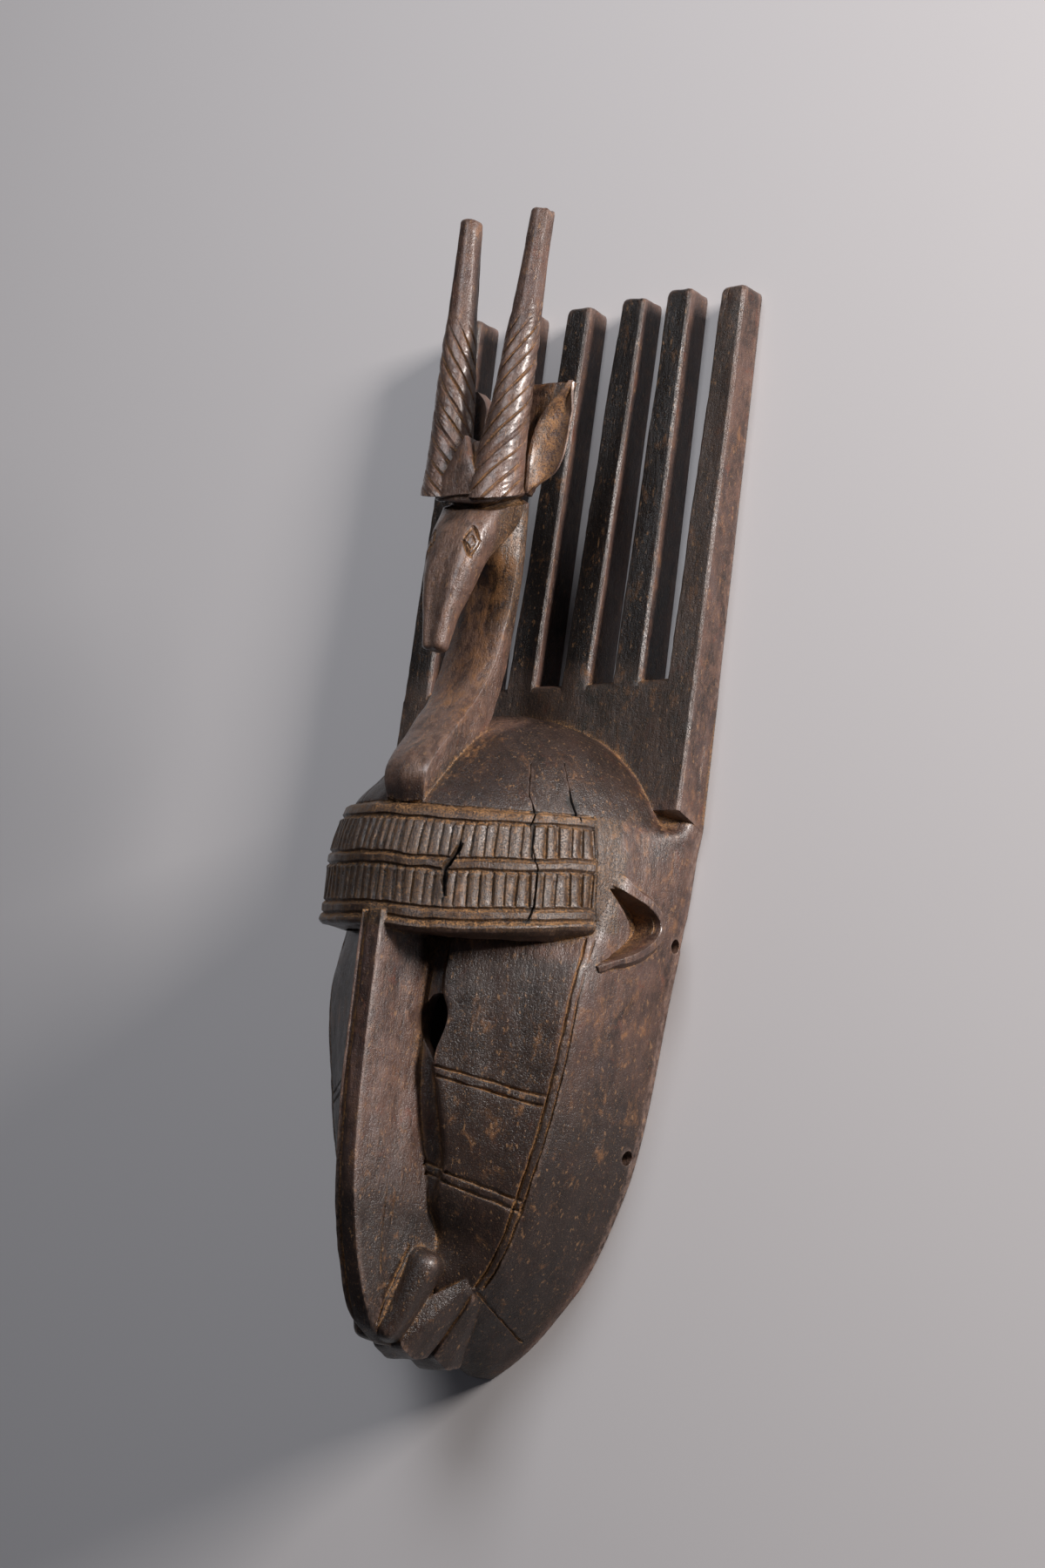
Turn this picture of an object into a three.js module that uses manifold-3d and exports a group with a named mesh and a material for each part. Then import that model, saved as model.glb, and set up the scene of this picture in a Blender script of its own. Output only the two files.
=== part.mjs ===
// A carved wooden face mask with a comb of six prongs and an antelope on its brow.
// It lies on its back rim. Millimetres: +X to the viewer's right, +Y towards the crown,
// +Z out of the face. Heights along Y are counted from the chin and centred at the end.
import * as THREE from 'three';
import { mergeVertices } from 'three/addons/utils/BufferGeometryUtils.js';
import Module from 'manifold-3d';

const wasm = await Module();
wasm.setup();

// Overall reach along Y
const LIP_END = -4;
const HORN_TOP = 618;
const MIDDLE = (LIP_END + HORN_TOP) / 2;

// Back rim: half width at heights from the chin to the comb
const RIM = [[-3, 5], [5, 17], [16, 30], [33, 45], [50, 58], [88, 75], [113, 82.5], [206, 93.5],
  [250, 98.5], [300, 101]];

// Comb
const PRONGS = 6;
const PRONG_PITCH = 36.8;
const PRONG_WIDTH = 20;
const PRONG_TAPER = 2;
const PRONG_TOP = 600;
const PRONG_LEAN = [0, 0, 5, 6.5, 1, 1];
const SLOT_FLOOR = 374;
const COMB_FOOT = 297;
const COMB_HALF = 102;
const COMB_DEPTH_LOW = 24;
const COMB_DEPTH_HIGH = 17;
const ARRIS = 2.2;
const PRONG_CHAMFER_HEIGHT = 4;
const PRONG_CHAMFER_DEPTH = 2.5;
const PRONG_TOP_SWAY = 1.5;

// Dome of the forehead: superellipse sections that shrink to the crown
const DOME_HALF = 96.5;
const DOME_HIGH = 135;
const DOME_LEVEL = 240;
const DOME_REACH = 111;
const DOME_POWER = 2.08;
const FLARE_HEIGHT = 42;
const FLARE_FADE = [284, 298];
const CROWN_LIFT = 6;
const CROWN_LIFT_FROM = [290, 340];
const CROWN_LIFT_Z = [14, 62];

// Brow band: its height up the dome, its proud thickness and its carving
const BROW_LOW = 211.5;
const BROW_HIGH = 279.8;
const BROW_RISE_LOW = 15.5;
const BROW_RISE_HIGH = 11;
const BROW_RISE_WIDTH = 90;
const BROW_END_LOW = 0.154;
const BROW_END_HIGH = 0.168;
const BROW_PROUD = 3.2;
const FILLET_LINES = [217.6, 224.1, 244.6, 251, 271.8];
const LIP_PROUD = 0.8;
const BAND_ROOT = -10;
const LINE_WIDTH = 1.8;
const LINE_DEPTH = 1.5;
const HATCH_ROWS = [[226, 242.6], [252.6, 269.8]];
const HATCH_LEAN = 0.0015;
const HATCHES = 36;
const BAND_FACETS = 18;
const HATCH_WIDTH = 2.6;
const HATCH_DEPTH = 1.7;

// Cheeks: the edge where cheek and side wall meet, and the cheek's height at the nose
const EDGE_X = [[-3, 2], [8, 11], [35, 33], [50, 46], [93, 65.5], [145, 78.5], [195, 85.5], [228, 82.5],
  [245, 82]];
const EDGE_Z = [[-3, 12], [8, 30], [35, 54], [50, 58], [93, 64], [145, 66], [195, 68], [228, 61],
  [245, 60]];
const NOSE_FOOT_X = 17;
const NOSE_FOOT_SHARE = 0.6;
const CHEEK_Z = [[-3, 14], [8, 40], [22, 62], [40, 74], [63, 79], [78, 94], [97, 103], [130, 115],
  [245, 116]];
const VALLEY_EDGE = [[62, 22], [70, 23], [82, 26], [96, 30], [118, 30.5], [150, 27.5], [176, 30.5],
  [245, 28]];
const VALLEY_DEPTH = [[56, 1], [66, 5], [76, 8], [97, 12], [122, 15], [245, 15.5]];
const VALLEY_DROP = 8;
const WALL_BULGE = 0.18;
const FACE_OUT = [0.64, 0.77];
const LINE_GAP = 4;
const CROSS_LINES = [[33, 146, 71, 137], [33, 141, 70, 132], [33, 93, 62, 83], [33, 88, 60, 78]];

// Nose: ridge height, half width at the foot, and the flat strip along the ridge
const RIDGE_Z = [[4, 93], [11, 104], [22, 113.5], [41, 123], [62, 129.5], [79, 134], [120, 138.5],
  [173, 140.5], [222, 141]];
const NOSE_HALF = [[4, 2.5], [11, 7], [22, 12], [41, 16], [62, 17.5], [76, 17], [92, 16], [121, 14],
  [152, 12.8], [222, 13.5]];
const STRIP_HALF = 6.2;

// Antelope
const NECK_FRONT = [[278, 126], [300, 129], [327, 112], [346, 99], [365, 91], [390, 86], [410, 84],
  [437, 83.5], [462, 85]];
const NECK_BACK = [[278, 96], [318, 88], [341, 83], [380, 78], [437, 78], [462, 80]];
const NECK_HALF = [[278, 11.5], [300, 14.5], [346, 17], [372, 18.5], [430, 20], [462, 20]];
const NECK_SWELL = 0.28;
const MUZZLE_END = 367;
const MUZZLE_HALF = [[MUZZLE_END, 7], [385, 9.5], [402, 13.8], [418, 17], [434, 19.4], [462, 20.2]];
const JAW_Z = [[MUZZLE_END, 113], [385, 109], [402, 104], [418, 98], [434, 84], [462, 80]];
const BRIDGE_Z = [[MUZZLE_END, 124], [385, 123.5], [418, 122], [450, 119], [462, 118]];
const CAP_LOW = 449;
const CAP_SLANT = 0.5;
const CAP_HIGH = 486;
const CAP_FRONT = 117;
const LEAF_DEPTH = 18;
const LEAF_Z = 101;
const HORN_X = [[454, 15.5], [490, 18.5], [515, 20], [550, 21.8], [HORN_TOP, 25]];
const HORN_Z = 104.5;
const HORN_RADIUS = [[454, 15.5], [470, 14], [490, 12.2], [515, 10.8], [550, 9], [580, 7.8],
  [HORN_TOP, 6.7]];
const HORN_FACET = 0.5;
const HORN_END = 0.82;
const FLUTES = 8;
const FLUTE_DEPTH = 1.6;
const FLUTE_LEAD = 90;
const FLUTES_END = 556;

// Antelope's ear: height, inner x, rim x and z, outer x
const EAR_LEVELS = [[462, 10, 22.5, 88, 24], [466, 9.5, 24.5, 90, 29], [471, 9, 24.3, 90, 35],
  [480, 8.5, 23.8, 90, 41], [491, 8.5, 24.6, 90, 43.3], [504, 8.5, 28.8, 90, 44.2],
  [512, 9, 34.5, 89.5, 44.6], [518, 12, 40, 89, 45], [524, 18, 44, 88, 45.2]];
const EAR_DROP = 8;

// Ear of the mask: crest as height and z, the crest's reach and thickness
const EAR_CREST = [[252, 56], [248.2, 44], [244, 31], [239.8, 25.5], [235, 24], [230.5, 26], [225, 31.5],
  [218, 41.5], [212, 53], [207, 60]];
const EAR_GROUND = [[0, 97], [30, 93], [66, 85]];
const EAR_REACH_LOW = 91;
const EAR_REACH = 10;
const EAR_ROOT = 7;

// Hollow behind the face: height and half width, and the holes cut through the face
const HOLLOW_HIGH = [[18, 8], [24, 24], [35, 38], [50, 50], [70, 62], [95, 77], [130, 89], [195, 92],
  [215, 95], [240, 110], [275, 103], [310, 62], [331, 10]];
const HOLLOW_HALF = [[18, 6], [24, 20], [35, 32], [50, 44], [88, 61], [141, 71], [206, 79], [255, 82],
  [290, 70], [310, 52], [331, 12]];
const HOLLOW_OPEN = -5;
const EYE_RADIUS = 8.5;
const EYE_SLOT_RADIUS = 5;
const RIM_HOLE_RADIUS = 3.7;
const HOLE_REACH = 30;

// Smooth value at y through knots of [y, value]
function through(knots, y) {
  const last = knots.length - 1;
  if (y <= knots[0][0]) return knots[0][1];
  if (y >= knots[last][0]) return knots[last][1];
  let i = 0;
  while (y > knots[i + 1][0]) i += 1;
  const slope = (a, b) => (knots[b][1] - knots[a][1]) / (knots[b][0] - knots[a][0]);
  const span = knots[i + 1][0] - knots[i][0];
  const here = slope(i, i + 1);
  const before = i > 0 ? (slope(i - 1, i) + here) / 2 : here;
  const after = i + 1 < last ? (here + slope(i + 1, i + 2)) / 2 : here;
  const t = (y - knots[i][0]) / span;
  const rise = t * t * (3 - 2 * t);
  const bend = span * (before * t * (1 - t) ** 2 - after * t * t * (1 - t));
  return knots[i][1] + (knots[i + 1][1] - knots[i][1]) * rise + bend;
}

// Smooth step: 0 below low, 1 above high
const ease = ([low, high], value) => THREE.MathUtils.smoothstep(value, low, high);

function steps(from, to, count) {
  return Array.from({ length: count + 1 }, (_, i) => from + ((to - from) * i) / count);
}

const point = (x, y, z) => new THREE.Vector3(x, y, z);

// Closed body through rings of equal length, its ends closed by fans
function loft(rings) {
  const size = rings[0].length;
  const points = rings.flat();
  const index = [];
  for (let r = 0; r + 1 < rings.length; r += 1) {
    for (let i = 0; i < size; i += 1) {
      const a = r * size + i;
      const b = r * size + ((i + 1) % size);
      index.push(a, b, b + size, a, b + size, a + size);
    }
  }
  for (const [ring, turn] of [[0, 1], [rings.length - 1, -1]]) {
    const centre = rings[ring].reduce((sum, p) => sum.add(p), point(0, 0, 0)).divideScalar(size);
    points.push(centre);
    for (let i = 0; i < size; i += 1) {
      const a = ring * size + i;
      const b = ring * size + ((i + 1) % size);
      index.push(...(turn > 0 ? [b, a, points.length - 1] : [a, b, points.length - 1]));
    }
  }
  const geometry = new THREE.BufferGeometry().setFromPoints(points);
  geometry.setIndex(index);
  return geometry;
}

// Six times the enclosed volume, negative when the faces point in
function signedVolume(positions, index) {
  let sum = 0;
  const [a, b, c] = [point(0, 0, 0), point(0, 0, 0), point(0, 0, 0)];
  for (let i = 0; i < index.count; i += 3) {
    a.fromBufferAttribute(positions, index.getX(i));
    b.fromBufferAttribute(positions, index.getX(i + 1));
    c.fromBufferAttribute(positions, index.getX(i + 2));
    sum += a.dot(b.clone().cross(c));
  }
  return sum;
}

function solid(geometry) {
  const bare = geometry.clone();
  bare.deleteAttribute('normal');
  bare.deleteAttribute('uv');
  const merged = mergeVertices(bare, 1e-4);
  const triangles = Uint32Array.from(merged.index.array);
  if (signedVolume(merged.attributes.position, merged.index) < 0) {
    triangles.reverse();
  }
  const vertices = Float32Array.from(merged.attributes.position.array);
  return new wasm.Manifold(new wasm.Mesh({ numProp: 3, vertProperties: vertices, triVerts: triangles }));
}

const joined = (solids) => solids.reduce((whole, next) => whole.add(next));

// The same form on the right and on the left
const bothSides = (build) => [build(1), build(-1)];

// A closed ring that runs over the front of a section from its right half
function mirroredRing(half, y) {
  const right = half.map(([x, z]) => point(x, y, z));
  const left = half.filter(([x]) => x > 0).map(([x, z]) => point(-x, y, z)).reverse();
  return [...right, ...left];
}

// Lift of the brow's lines towards the sides
function browRise(x, y) {
  const fade = THREE.MathUtils.clamp((y - BROW_LOW) / (BROW_HIGH - BROW_LOW), 0, 2);
  const rise = Math.max(0, BROW_RISE_LOW + (BROW_RISE_HIGH - BROW_RISE_LOW) * fade);
  return rise * (Math.abs(x) / BROW_RISE_WIDTH) ** 4;
}

// Point on the dome: turn 0 is the right rim, 0.5 the front and 1 the left rim
function onDome(turn, y, proud = 0) {
  const angle = turn * Math.PI;
  const above = Math.max(0, y - DOME_LEVEL) / DOME_REACH;
  const shrink = Math.max(0, 1 - above ** DOME_POWER) ** (1 / DOME_POWER);
  const across = Math.cos(angle);
  const out = Math.sin(angle);
  const section = (Math.abs(across) ** DOME_POWER + out ** DOME_POWER) ** (-1 / DOME_POWER);
  const z = (DOME_HIGH * shrink + proud) * section * out;
  const place = y + browRise(DOME_HALF, y);
  const widening = (through(RIM, place) - DOME_HALF * shrink) * Math.max(0, 1 - z / FLARE_HEIGHT) ** 2;
  const flare = widening * (1 - ease(FLARE_FADE, place) * ease([8, 20], z));
  const plain = (DOME_HALF * shrink + proud) * section * across;
  const x = plain + Math.sign(across) * flare * Math.abs(section * across) ** 0.3;
  const crown = CROWN_LIFT * ease(CROWN_LIFT_FROM, y) * ease(CROWN_LIFT_Z, z);
  return point(x, y + browRise(x, y) + crown, z);
}

function dome() {
  const levels = [BROW_LOW, 238, 262, 282, 300, 314, 326, 336, 344, 349, 351];
  return loft(levels.map((y) => steps(0, 1, 28).map((turn) => onDome(turn, y))));
}

// Turn at a share of the way along the band, whose ends slant
function bandTurn(share, y) {
  const end = BROW_END_LOW + ((BROW_END_HIGH - BROW_END_LOW) * (y - BROW_LOW)) / (BROW_HIGH - BROW_LOW);
  return end + (1 - 2 * end) * share;
}

// The band is a profile of fillets and lines swept across the brow
function browProfile() {
  const profile = [[BROW_LOW, BAND_ROOT], [BROW_LOW, BROW_PROUD + LIP_PROUD]];
  for (const line of FILLET_LINES) {
    profile.push([line - LINE_WIDTH / 2, BROW_PROUD]);
    profile.push([line, BROW_PROUD - LINE_DEPTH]);
    profile.push([line + LINE_WIDTH / 2, BROW_PROUD]);
  }
  profile.push([BROW_HIGH - 1, BROW_PROUD], [BROW_HIGH, 0], [BROW_HIGH, BAND_ROOT]);
  return profile;
}

function browBand() {
  const profile = browProfile();
  return loft(steps(0, 1, BAND_FACETS).map((share) => (
    profile.map(([y, proud]) => onDome(bandTurn(share, y), y, proud)))));
}

// A V cut along a path of points with their outward normals
function groove(path, width, depth) {
  const rings = path.map(({ at, out }, i) => {
    const ahead = path[Math.min(i + 1, path.length - 1)].at;
    const behind = path[Math.max(i - 1, 0)].at;
    const side = ahead.clone().sub(behind).cross(out).normalize();
    const lip = at.clone().addScaledVector(out, depth);
    const left = lip.clone().addScaledVector(side, -width);
    const right = lip.clone().addScaledVector(side, width);
    return [left, right, at.clone().addScaledVector(out, -depth)];
  });
  return solid(loft(rings));
}

function domeSpot(turn, y, proud) {
  const at = onDome(turn, y, proud);
  const along = onDome(turn + 0.01, y, proud).sub(onDome(turn - 0.01, y, proud));
  const up = onDome(turn, y + 1, proud).sub(onDome(turn, y - 1, proud));
  return { at, out: along.cross(up).normalize().negate() };
}

function hatchCuts() {
  const cuts = [];
  for (const [row, [low, high]] of HATCH_ROWS.entries()) {
    for (let i = 0; i < HATCHES; i += 1) {
      const lean = HATCH_LEAN * Math.sin(i * 2.3 + row * 1.7);
      const place = (i + 0.5) / HATCHES;
      const ends = [domeSpot(bandTurn(place - lean, low), low, BROW_PROUD),
        domeSpot(bandTurn(place + lean, high), high, BROW_PROUD)];
      cuts.push(groove(ends, HATCH_WIDTH / 2, HATCH_DEPTH));
    }
  }
  return cuts;
}

// Cheek height on the line from the nose's foot out to the edge, less the valley by the nose
function onCheek(x, y) {
  const edge = through(EDGE_X, y);
  const low = through(EDGE_Z, y);
  const high = through(CHEEK_Z, y);
  const foot = Math.min(NOSE_FOOT_X, edge * NOSE_FOOT_SHARE);
  const line = low + ((high - low) * (edge - Math.max(x, foot))) / (edge - foot);
  return line - through(VALLEY_DEPTH, y) * ease([0, VALLEY_DROP], through(VALLEY_EDGE, y) - x);
}

function face() {
  const levels = [-3, 3, 8, 16, 25, 35, 50, 66, 80, 95, 117, 145, 172, 195, 215, 230, 246];
  return loft(levels.map((y) => {
    const rim = through(RIM, y) - (y > 228 ? 0.6 : 0);
    const edge = through(EDGE_X, y);
    const low = through(EDGE_Z, y);
    const brink = Math.min(through(VALLEY_EDGE, y), edge * NOSE_FOOT_SHARE);
    const floor = Math.max(brink - VALLEY_DROP, brink * 0.5);
    const bulge = (rim - edge) * WALL_BULGE;
    const half = [[rim, 0], [rim - (rim - edge) * 0.33 + bulge, low * 0.4], [edge, low]];
    half.push([(edge + brink) / 2, onCheek((edge + brink) / 2, y)], [brink, onCheek(brink, y)]);
    half.push([floor, onCheek(floor, y)], [0, onCheek(0, y)]);
    return mirroredRing(half, y);
  }));
}

function nose() {
  const levels = [4, 7, 11, 16, 22, 31, 41, 52, 65, 82, 105, 135, 173, 222];
  return loft(levels.map((y) => {
    const ridge = through(RIDGE_Z, y);
    const foot = through(NOSE_HALF, y);
    const strip = Math.min(STRIP_HALF, foot * 0.6);
    const low = Math.max(through(CHEEK_Z, y) - through(VALLEY_DEPTH, y), 26);
    const half = [[foot * 0.9, Math.min(low - 6, ridge - 12)], [foot, Math.min(low, ridge - 6)]];
    half.push([strip + 1.2, ridge - 3], [strip, ridge], [STRIP_HALF * 0.14, ridge]);
    half.push([0, ridge - (y > 14 ? 1.6 : 0)]);
    return mirroredRing(half, y);
  }));
}

// A rounded finger from one end to the other
function finger(from, to, radiusFrom, radiusTo, sides = 8) {
  const path = to.clone().sub(from);
  const along = path.clone().normalize();
  const across = along.clone().cross(point(0, 0, 1)).normalize();
  const up = across.clone().cross(along);
  const rings = [0.04, 0.2, 0.5, 0.8, 1].map((round) => [round, true]);
  rings.push([0.8, false], [0.45, false], [0.1, false]);
  return loft(rings.map(([round, start]) => {
    const ease = Math.sqrt(1 - round * round);
    const centre = (start ? from : to).clone();
    centre.addScaledVector(along, start ? -ease * radiusFrom : ease * radiusTo);
    const radius = (start ? radiusFrom : radiusTo) * round;
    return steps(0, 1, sides).slice(0, sides).map((turn) => centre.clone()
      .addScaledVector(across, radius * Math.cos(turn * 2 * Math.PI))
      .addScaledVector(up, radius * Math.sin(turn * 2 * Math.PI)));
  }));
}

const nostril = (side) => finger(point(side * 5.5, 13, 90), point(side * 22.5, 50, 83), 10, 10.5);

// A lip is a wedge across the mouth that runs from the middle back to both corners
function lip(frontY, topZ, bottomZ, cornerY, cornerZ, half) {
  const shape = steps(-1, 1, 6).map((across) => {
    const back = Math.abs(across);
    const front = frontY + (cornerY - frontY) * back;
    const top = topZ + (cornerZ + 4 - topZ) * back;
    const bottom = bottomZ + (cornerZ - 4 - bottomZ) * back;
    const depth = 26 - 18 * back;
    const x = across * half;
    const middle = (top + bottom) / 2;
    return [point(x, front + depth, top), point(x, front + 6 - 5 * back, top), point(x, front, middle - 1),
      point(x, front + 3 - 3 * back, bottom), point(x, front + depth, bottom)];
  });
  return loft(shape);
}

// Ear of the mask: a flange that runs to a corner and back
function crescentEar(side) {
  const last = EAR_CREST.length - 1;
  return loft(EAR_CREST.map(([y, z], i) => {
    const [aheadY, aheadZ] = EAR_CREST[Math.min(i + 1, last)];
    const [behindY, behindZ] = EAR_CREST[Math.max(i - 1, 0)];
    const away = point(0, behindZ - aheadZ, aheadY - behindY).normalize();
    const lift = Math.sin((Math.PI * i) / last);
    const outer = EAR_REACH_LOW + EAR_REACH * lift ** 0.8;
    const root = through(EAR_GROUND, z) - EAR_ROOT;
    const crest = 2.6 + 1.2 * lift;
    const spot = (reach, out) => point(side * reach, y + away.y * out, z + away.z * out);
    return [spot(root, -1), spot(outer, -1), spot(outer, crest), spot(root, crest + 5 * lift)];
  }));
}

function block(lowX, highX, lowY, highY, highZ, lean = 0, taper = 0) {
  const ring = (y, z) => {
    const share = (y - lowY) / (highY - lowY);
    const left = lowX + (lean + taper) * share;
    const right = highX + (lean - taper) * share;
    return [point(left, y, 0), point(right, y, 0), point(right, y, z - ARRIS),
      point(right - ARRIS, y, z), point(left + ARRIS, y, z), point(left, y, z - ARRIS)];
  };
  const shoulder = ring(highY - PRONG_CHAMFER_HEIGHT, highZ(highY));
  return solid(loft([ring(lowY, highZ(lowY)), shoulder, ring(highY, highZ(highY) - PRONG_CHAMFER_DEPTH)]));
}

function comb() {
  const depth = (y) => {
    const part = (y - COMB_FOOT) / (PRONG_TOP - COMB_FOOT);
    return COMB_DEPTH_LOW + (COMB_DEPTH_HIGH - COMB_DEPTH_LOW) * part;
  };
  const pieces = [block(-COMB_HALF, COMB_HALF, COMB_FOOT, SLOT_FLOOR, depth)];
  for (let i = 0; i < PRONGS; i += 1) {
    const centre = (i - (PRONGS - 1) / 2) * PRONG_PITCH;
    const outer = Math.abs(centre) > 2 * PRONG_PITCH;
    const right = centre > 0 && outer ? COMB_HALF : centre + PRONG_WIDTH / 2;
    const left = centre < 0 && outer ? -COMB_HALF : centre - PRONG_WIDTH / 2;
    const top = PRONG_TOP + PRONG_TOP_SWAY * Math.sin(i * 2.1);
    pieces.push(block(left, right, COMB_FOOT, top, depth, PRONG_LEAN[i], PRONG_TAPER));
  }
  return joined(pieces);
}

function neck() {
  const levels = [278, 290, 300, 312, 327, 346, 365, 384, 404, 430, 462];
  return loft(levels.map((y) => {
    const half = through(NECK_HALF, y);
    const front = through(NECK_FRONT, y);
    const back = through(NECK_BACK, y);
    const swell = (front - back) * NECK_SWELL;
    return mirroredRing([[0, back - swell * 0.5], [half * 0.6, back - swell * 0.3], [half, back],
      [half, front - 1], [half * 0.55, front + swell * 0.35], [0, front + swell * 0.5]], y);
  }));
}

function muzzle() {
  const levels = [MUZZLE_END, 369, 385, 402, 418, 434, 450, 462];
  return loft(levels.map((y) => {
    const pinch = y === MUZZLE_END ? 0.85 : 1;
    const half = through(MUZZLE_HALF, y) * pinch;
    const top = through(BRIDGE_Z, y);
    const low = through(JAW_Z, y);
    return mirroredRing([[0, low - 1], [half * 0.7, low], [half, low + (top - low) * 0.3],
      [half * 0.86, top - (top - low) * 0.22], [half * 0.55, top - 0.8], [0, top + 0.6]], y);
  }));
}

// Cap that overhangs the head, its lower edge slanting up towards the back
function cap() {
  const ring = (y, grow, slant) => mirroredRing([[0, 73], [18 + grow, 73], [23 + grow, 81], [23 + grow, 94],
    [20 + grow, 111 + grow], [15 + grow, 116 + grow], [0, 117.5 + grow]], y).map((p) => (
    point(p.x, p.y + slant * Math.max(0, CAP_FRONT - p.z), p.z)));
  return loft([ring(CAP_LOW, -1.5, CAP_SLANT), ring(CAP_LOW + 3, 0, CAP_SLANT * 0.9),
    ring(CAP_LOW + 22, -1.5, 0.1), ring(CAP_HIGH, -7, 0)]);
}

// The leaf between the horns
function brow() {
  const leaf = [[-14, CAP_LOW + 6], [14, CAP_LOW + 6], [8.5, 470], [0, 488], [-8.5, 470]];
  const shape = new THREE.Shape(leaf.map(([x, y]) => new THREE.Vector2(x, y)));
  const geometry = new THREE.ExtrudeGeometry(shape, { depth: LEAF_DEPTH, bevelEnabled: false });
  return geometry.translate(0, 0, LEAF_Z);
}

// A horn: twisted flutes below, plain facets above
function horn(side) {
  const levels = [...steps(CAP_LOW + 6, FLUTES_END, 12), FLUTES_END + 3, 590, HORN_TOP - 3, HORN_TOP];
  return loft(levels.map((y) => {
    const centre = point(side * through(HORN_X, y), y, HORN_Z);
    const radius = through(HORN_RADIUS, y);
    const fluted = y <= FLUTES_END;
    const turned = Math.min(y, FLUTES_END) / FLUTE_LEAD;
    const end = y === HORN_TOP ? HORN_END : 1;
    return steps(0, 1, FLUTES * 2).slice(0, FLUTES * 2).map((turn, i) => {
      const cut = fluted && i % 2 === 1 ? FLUTE_DEPTH : (i % 2) * HORN_FACET;
      const angle = (turn - side * turned) * 2 * Math.PI;
      const reach = (radius - cut) * end;
      return point(centre.x + reach * Math.cos(angle), y, centre.z + reach * Math.sin(angle));
    });
  }));
}

// Antelope's ear: a leaf between its rim and its outer edge, with a flap towards the horn
function leafEar(side) {
  return loft(EAR_LEVELS.map(([y, inner, rim, rimZ, outer]) => {
    const edgeZ = rimZ - Math.min(EAR_DROP, 1.5 + (outer - rim) / 2);
    const middle = (rim + outer) / 2;
    const ring = [[inner, edgeZ - 4], [rim + 1, edgeZ - 4], [outer, edgeZ], [middle, (rimZ + edgeZ) / 2 - 3],
      [rim, rimZ], [inner, rimZ - 4]];
    return ring.map(([x, z]) => point(side * x, y, z));
  }));
}

// The hollow behind the face, open at the back
function hollow() {
  const levels = [18, 24, 35, 50, 72, 100, 135, 180, 225, 250, 275, 295, 312, 324, 331];
  return loft(levels.map((y) => {
    const wide = through(HOLLOW_HALF, y);
    const deep = through(HOLLOW_HIGH, y);
    const arch = steps(0, Math.PI, 12).map((angle) => (
      point(wide * Math.cos(angle), y, deep * Math.sin(angle))));
    return [point(wide, y, HOLLOW_OPEN), ...arch, point(-wide, y, HOLLOW_OPEN)];
  }));
}

function drill(centre, along, radius, sides = 12) {
  const geometry = new THREE.CylinderGeometry(radius, radius, along.length(), sides);
  const turn = new THREE.Quaternion().setFromUnitVectors(point(0, 1, 0), along.clone().normalize());
  return solid(geometry.applyQuaternion(turn).translate(centre.x, centre.y, centre.z));
}

const eyeHole = (side) => drill(point(side * 21.5, 172, 90), point(0, 0, 60), EYE_RADIUS)
  .add(drill(point(side * 23, 157, 90), point(0, 0, 60), EYE_SLOT_RADIUS));

function rimHoles(side) {
  return drill(point(side * 92, 230, 4.9), point(HOLE_REACH, 0, 0), RIM_HOLE_RADIUS)
    .add(drill(point(side * 78, 116, 8), point(HOLE_REACH, 0, 0), RIM_HOLE_RADIUS));
}

// Twin lines along the cheek's edge, and the lines across the cheek
function cheekCuts(side) {
  const lines = [0, LINE_GAP].map((inset) => steps(38, 212, 7).map((y) => {
    const x = through(EDGE_X, y) - inset;
    return { at: point(side * x, y, onCheek(x, y)), out: point(side * FACE_OUT[0], 0, FACE_OUT[1]) };
  }));
  for (const [fromX, fromY, toX, toY] of CROSS_LINES) {
    lines.push([[fromX, fromY], [toX, toY]].map(([x, y]) => (
      { at: point(side * x, y, onCheek(x, y)), out: point(side * FACE_OUT[0], 0, FACE_OUT[1]) })));
  }
  return joined(lines.map((line) => groove(line, 1.5, 1.5)));
}

function antelopeEye(side) {
  const shape = (half) => [[0, -2 * half], [half, 0], [0, 2 * half], [-half, 0]];
  const plate = (half) => solid(loft([-4, 4].map((lift) => shape(half).map(([x, y]) => (
    point(side * (18 + x * 0.7 + lift * 0.6), 425 + y, 116 - x * 0.75 + lift * 0.8))))));
  return plate(4.6).subtract(plate(2.4));
}

function carve() {
  const forms = [dome(), browBand(), face(), nose(), neck(), muzzle(), cap(), brow(),
    lip(-2, 85, 60, 36, 60, 31), lip(LIP_END, 57, 33, 31, 54, 31),
    ...bothSides(nostril), ...bothSides(crescentEar), ...bothSides(horn), ...bothSides(leafEar)];
  const cuts = [solid(hollow()), ...hatchCuts()];
  for (const cut of [eyeHole, rimHoles, cheekCuts, antelopeEye]) {
    cuts.push(...bothSides(cut));
  }
  return joined([comb(), ...forms.map(solid)]).subtract(joined(cuts));
}

function asGeometry(carved) {
  const { vertProperties, triVerts } = carved.getMesh();
  const geometry = new THREE.BufferGeometry();
  geometry.setAttribute('position', new THREE.BufferAttribute(vertProperties, 3));
  geometry.setIndex(new THREE.BufferAttribute(triVerts, 1));
  geometry.translate(0, -MIDDLE, 0);
  geometry.computeVertexNormals();
  return geometry;
}

const wood = new THREE.MeshStandardMaterial({ color: 0x3d2c22, roughness: 0.5, metalness: 0 });
const mask = new THREE.Mesh(asGeometry(carve()), wood);
mask.name = 'mask';

const group = new THREE.Group();
group.add(mask);

export default group;
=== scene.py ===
"""A carved wooden face mask with a comb of prongs and an antelope on its brow.

The mask lies on its back rim, face up. Forms are worked out in millimetres with heights
counted from the chin, as lofts of closed sections, and are put into the frame at the end.
"""

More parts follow.
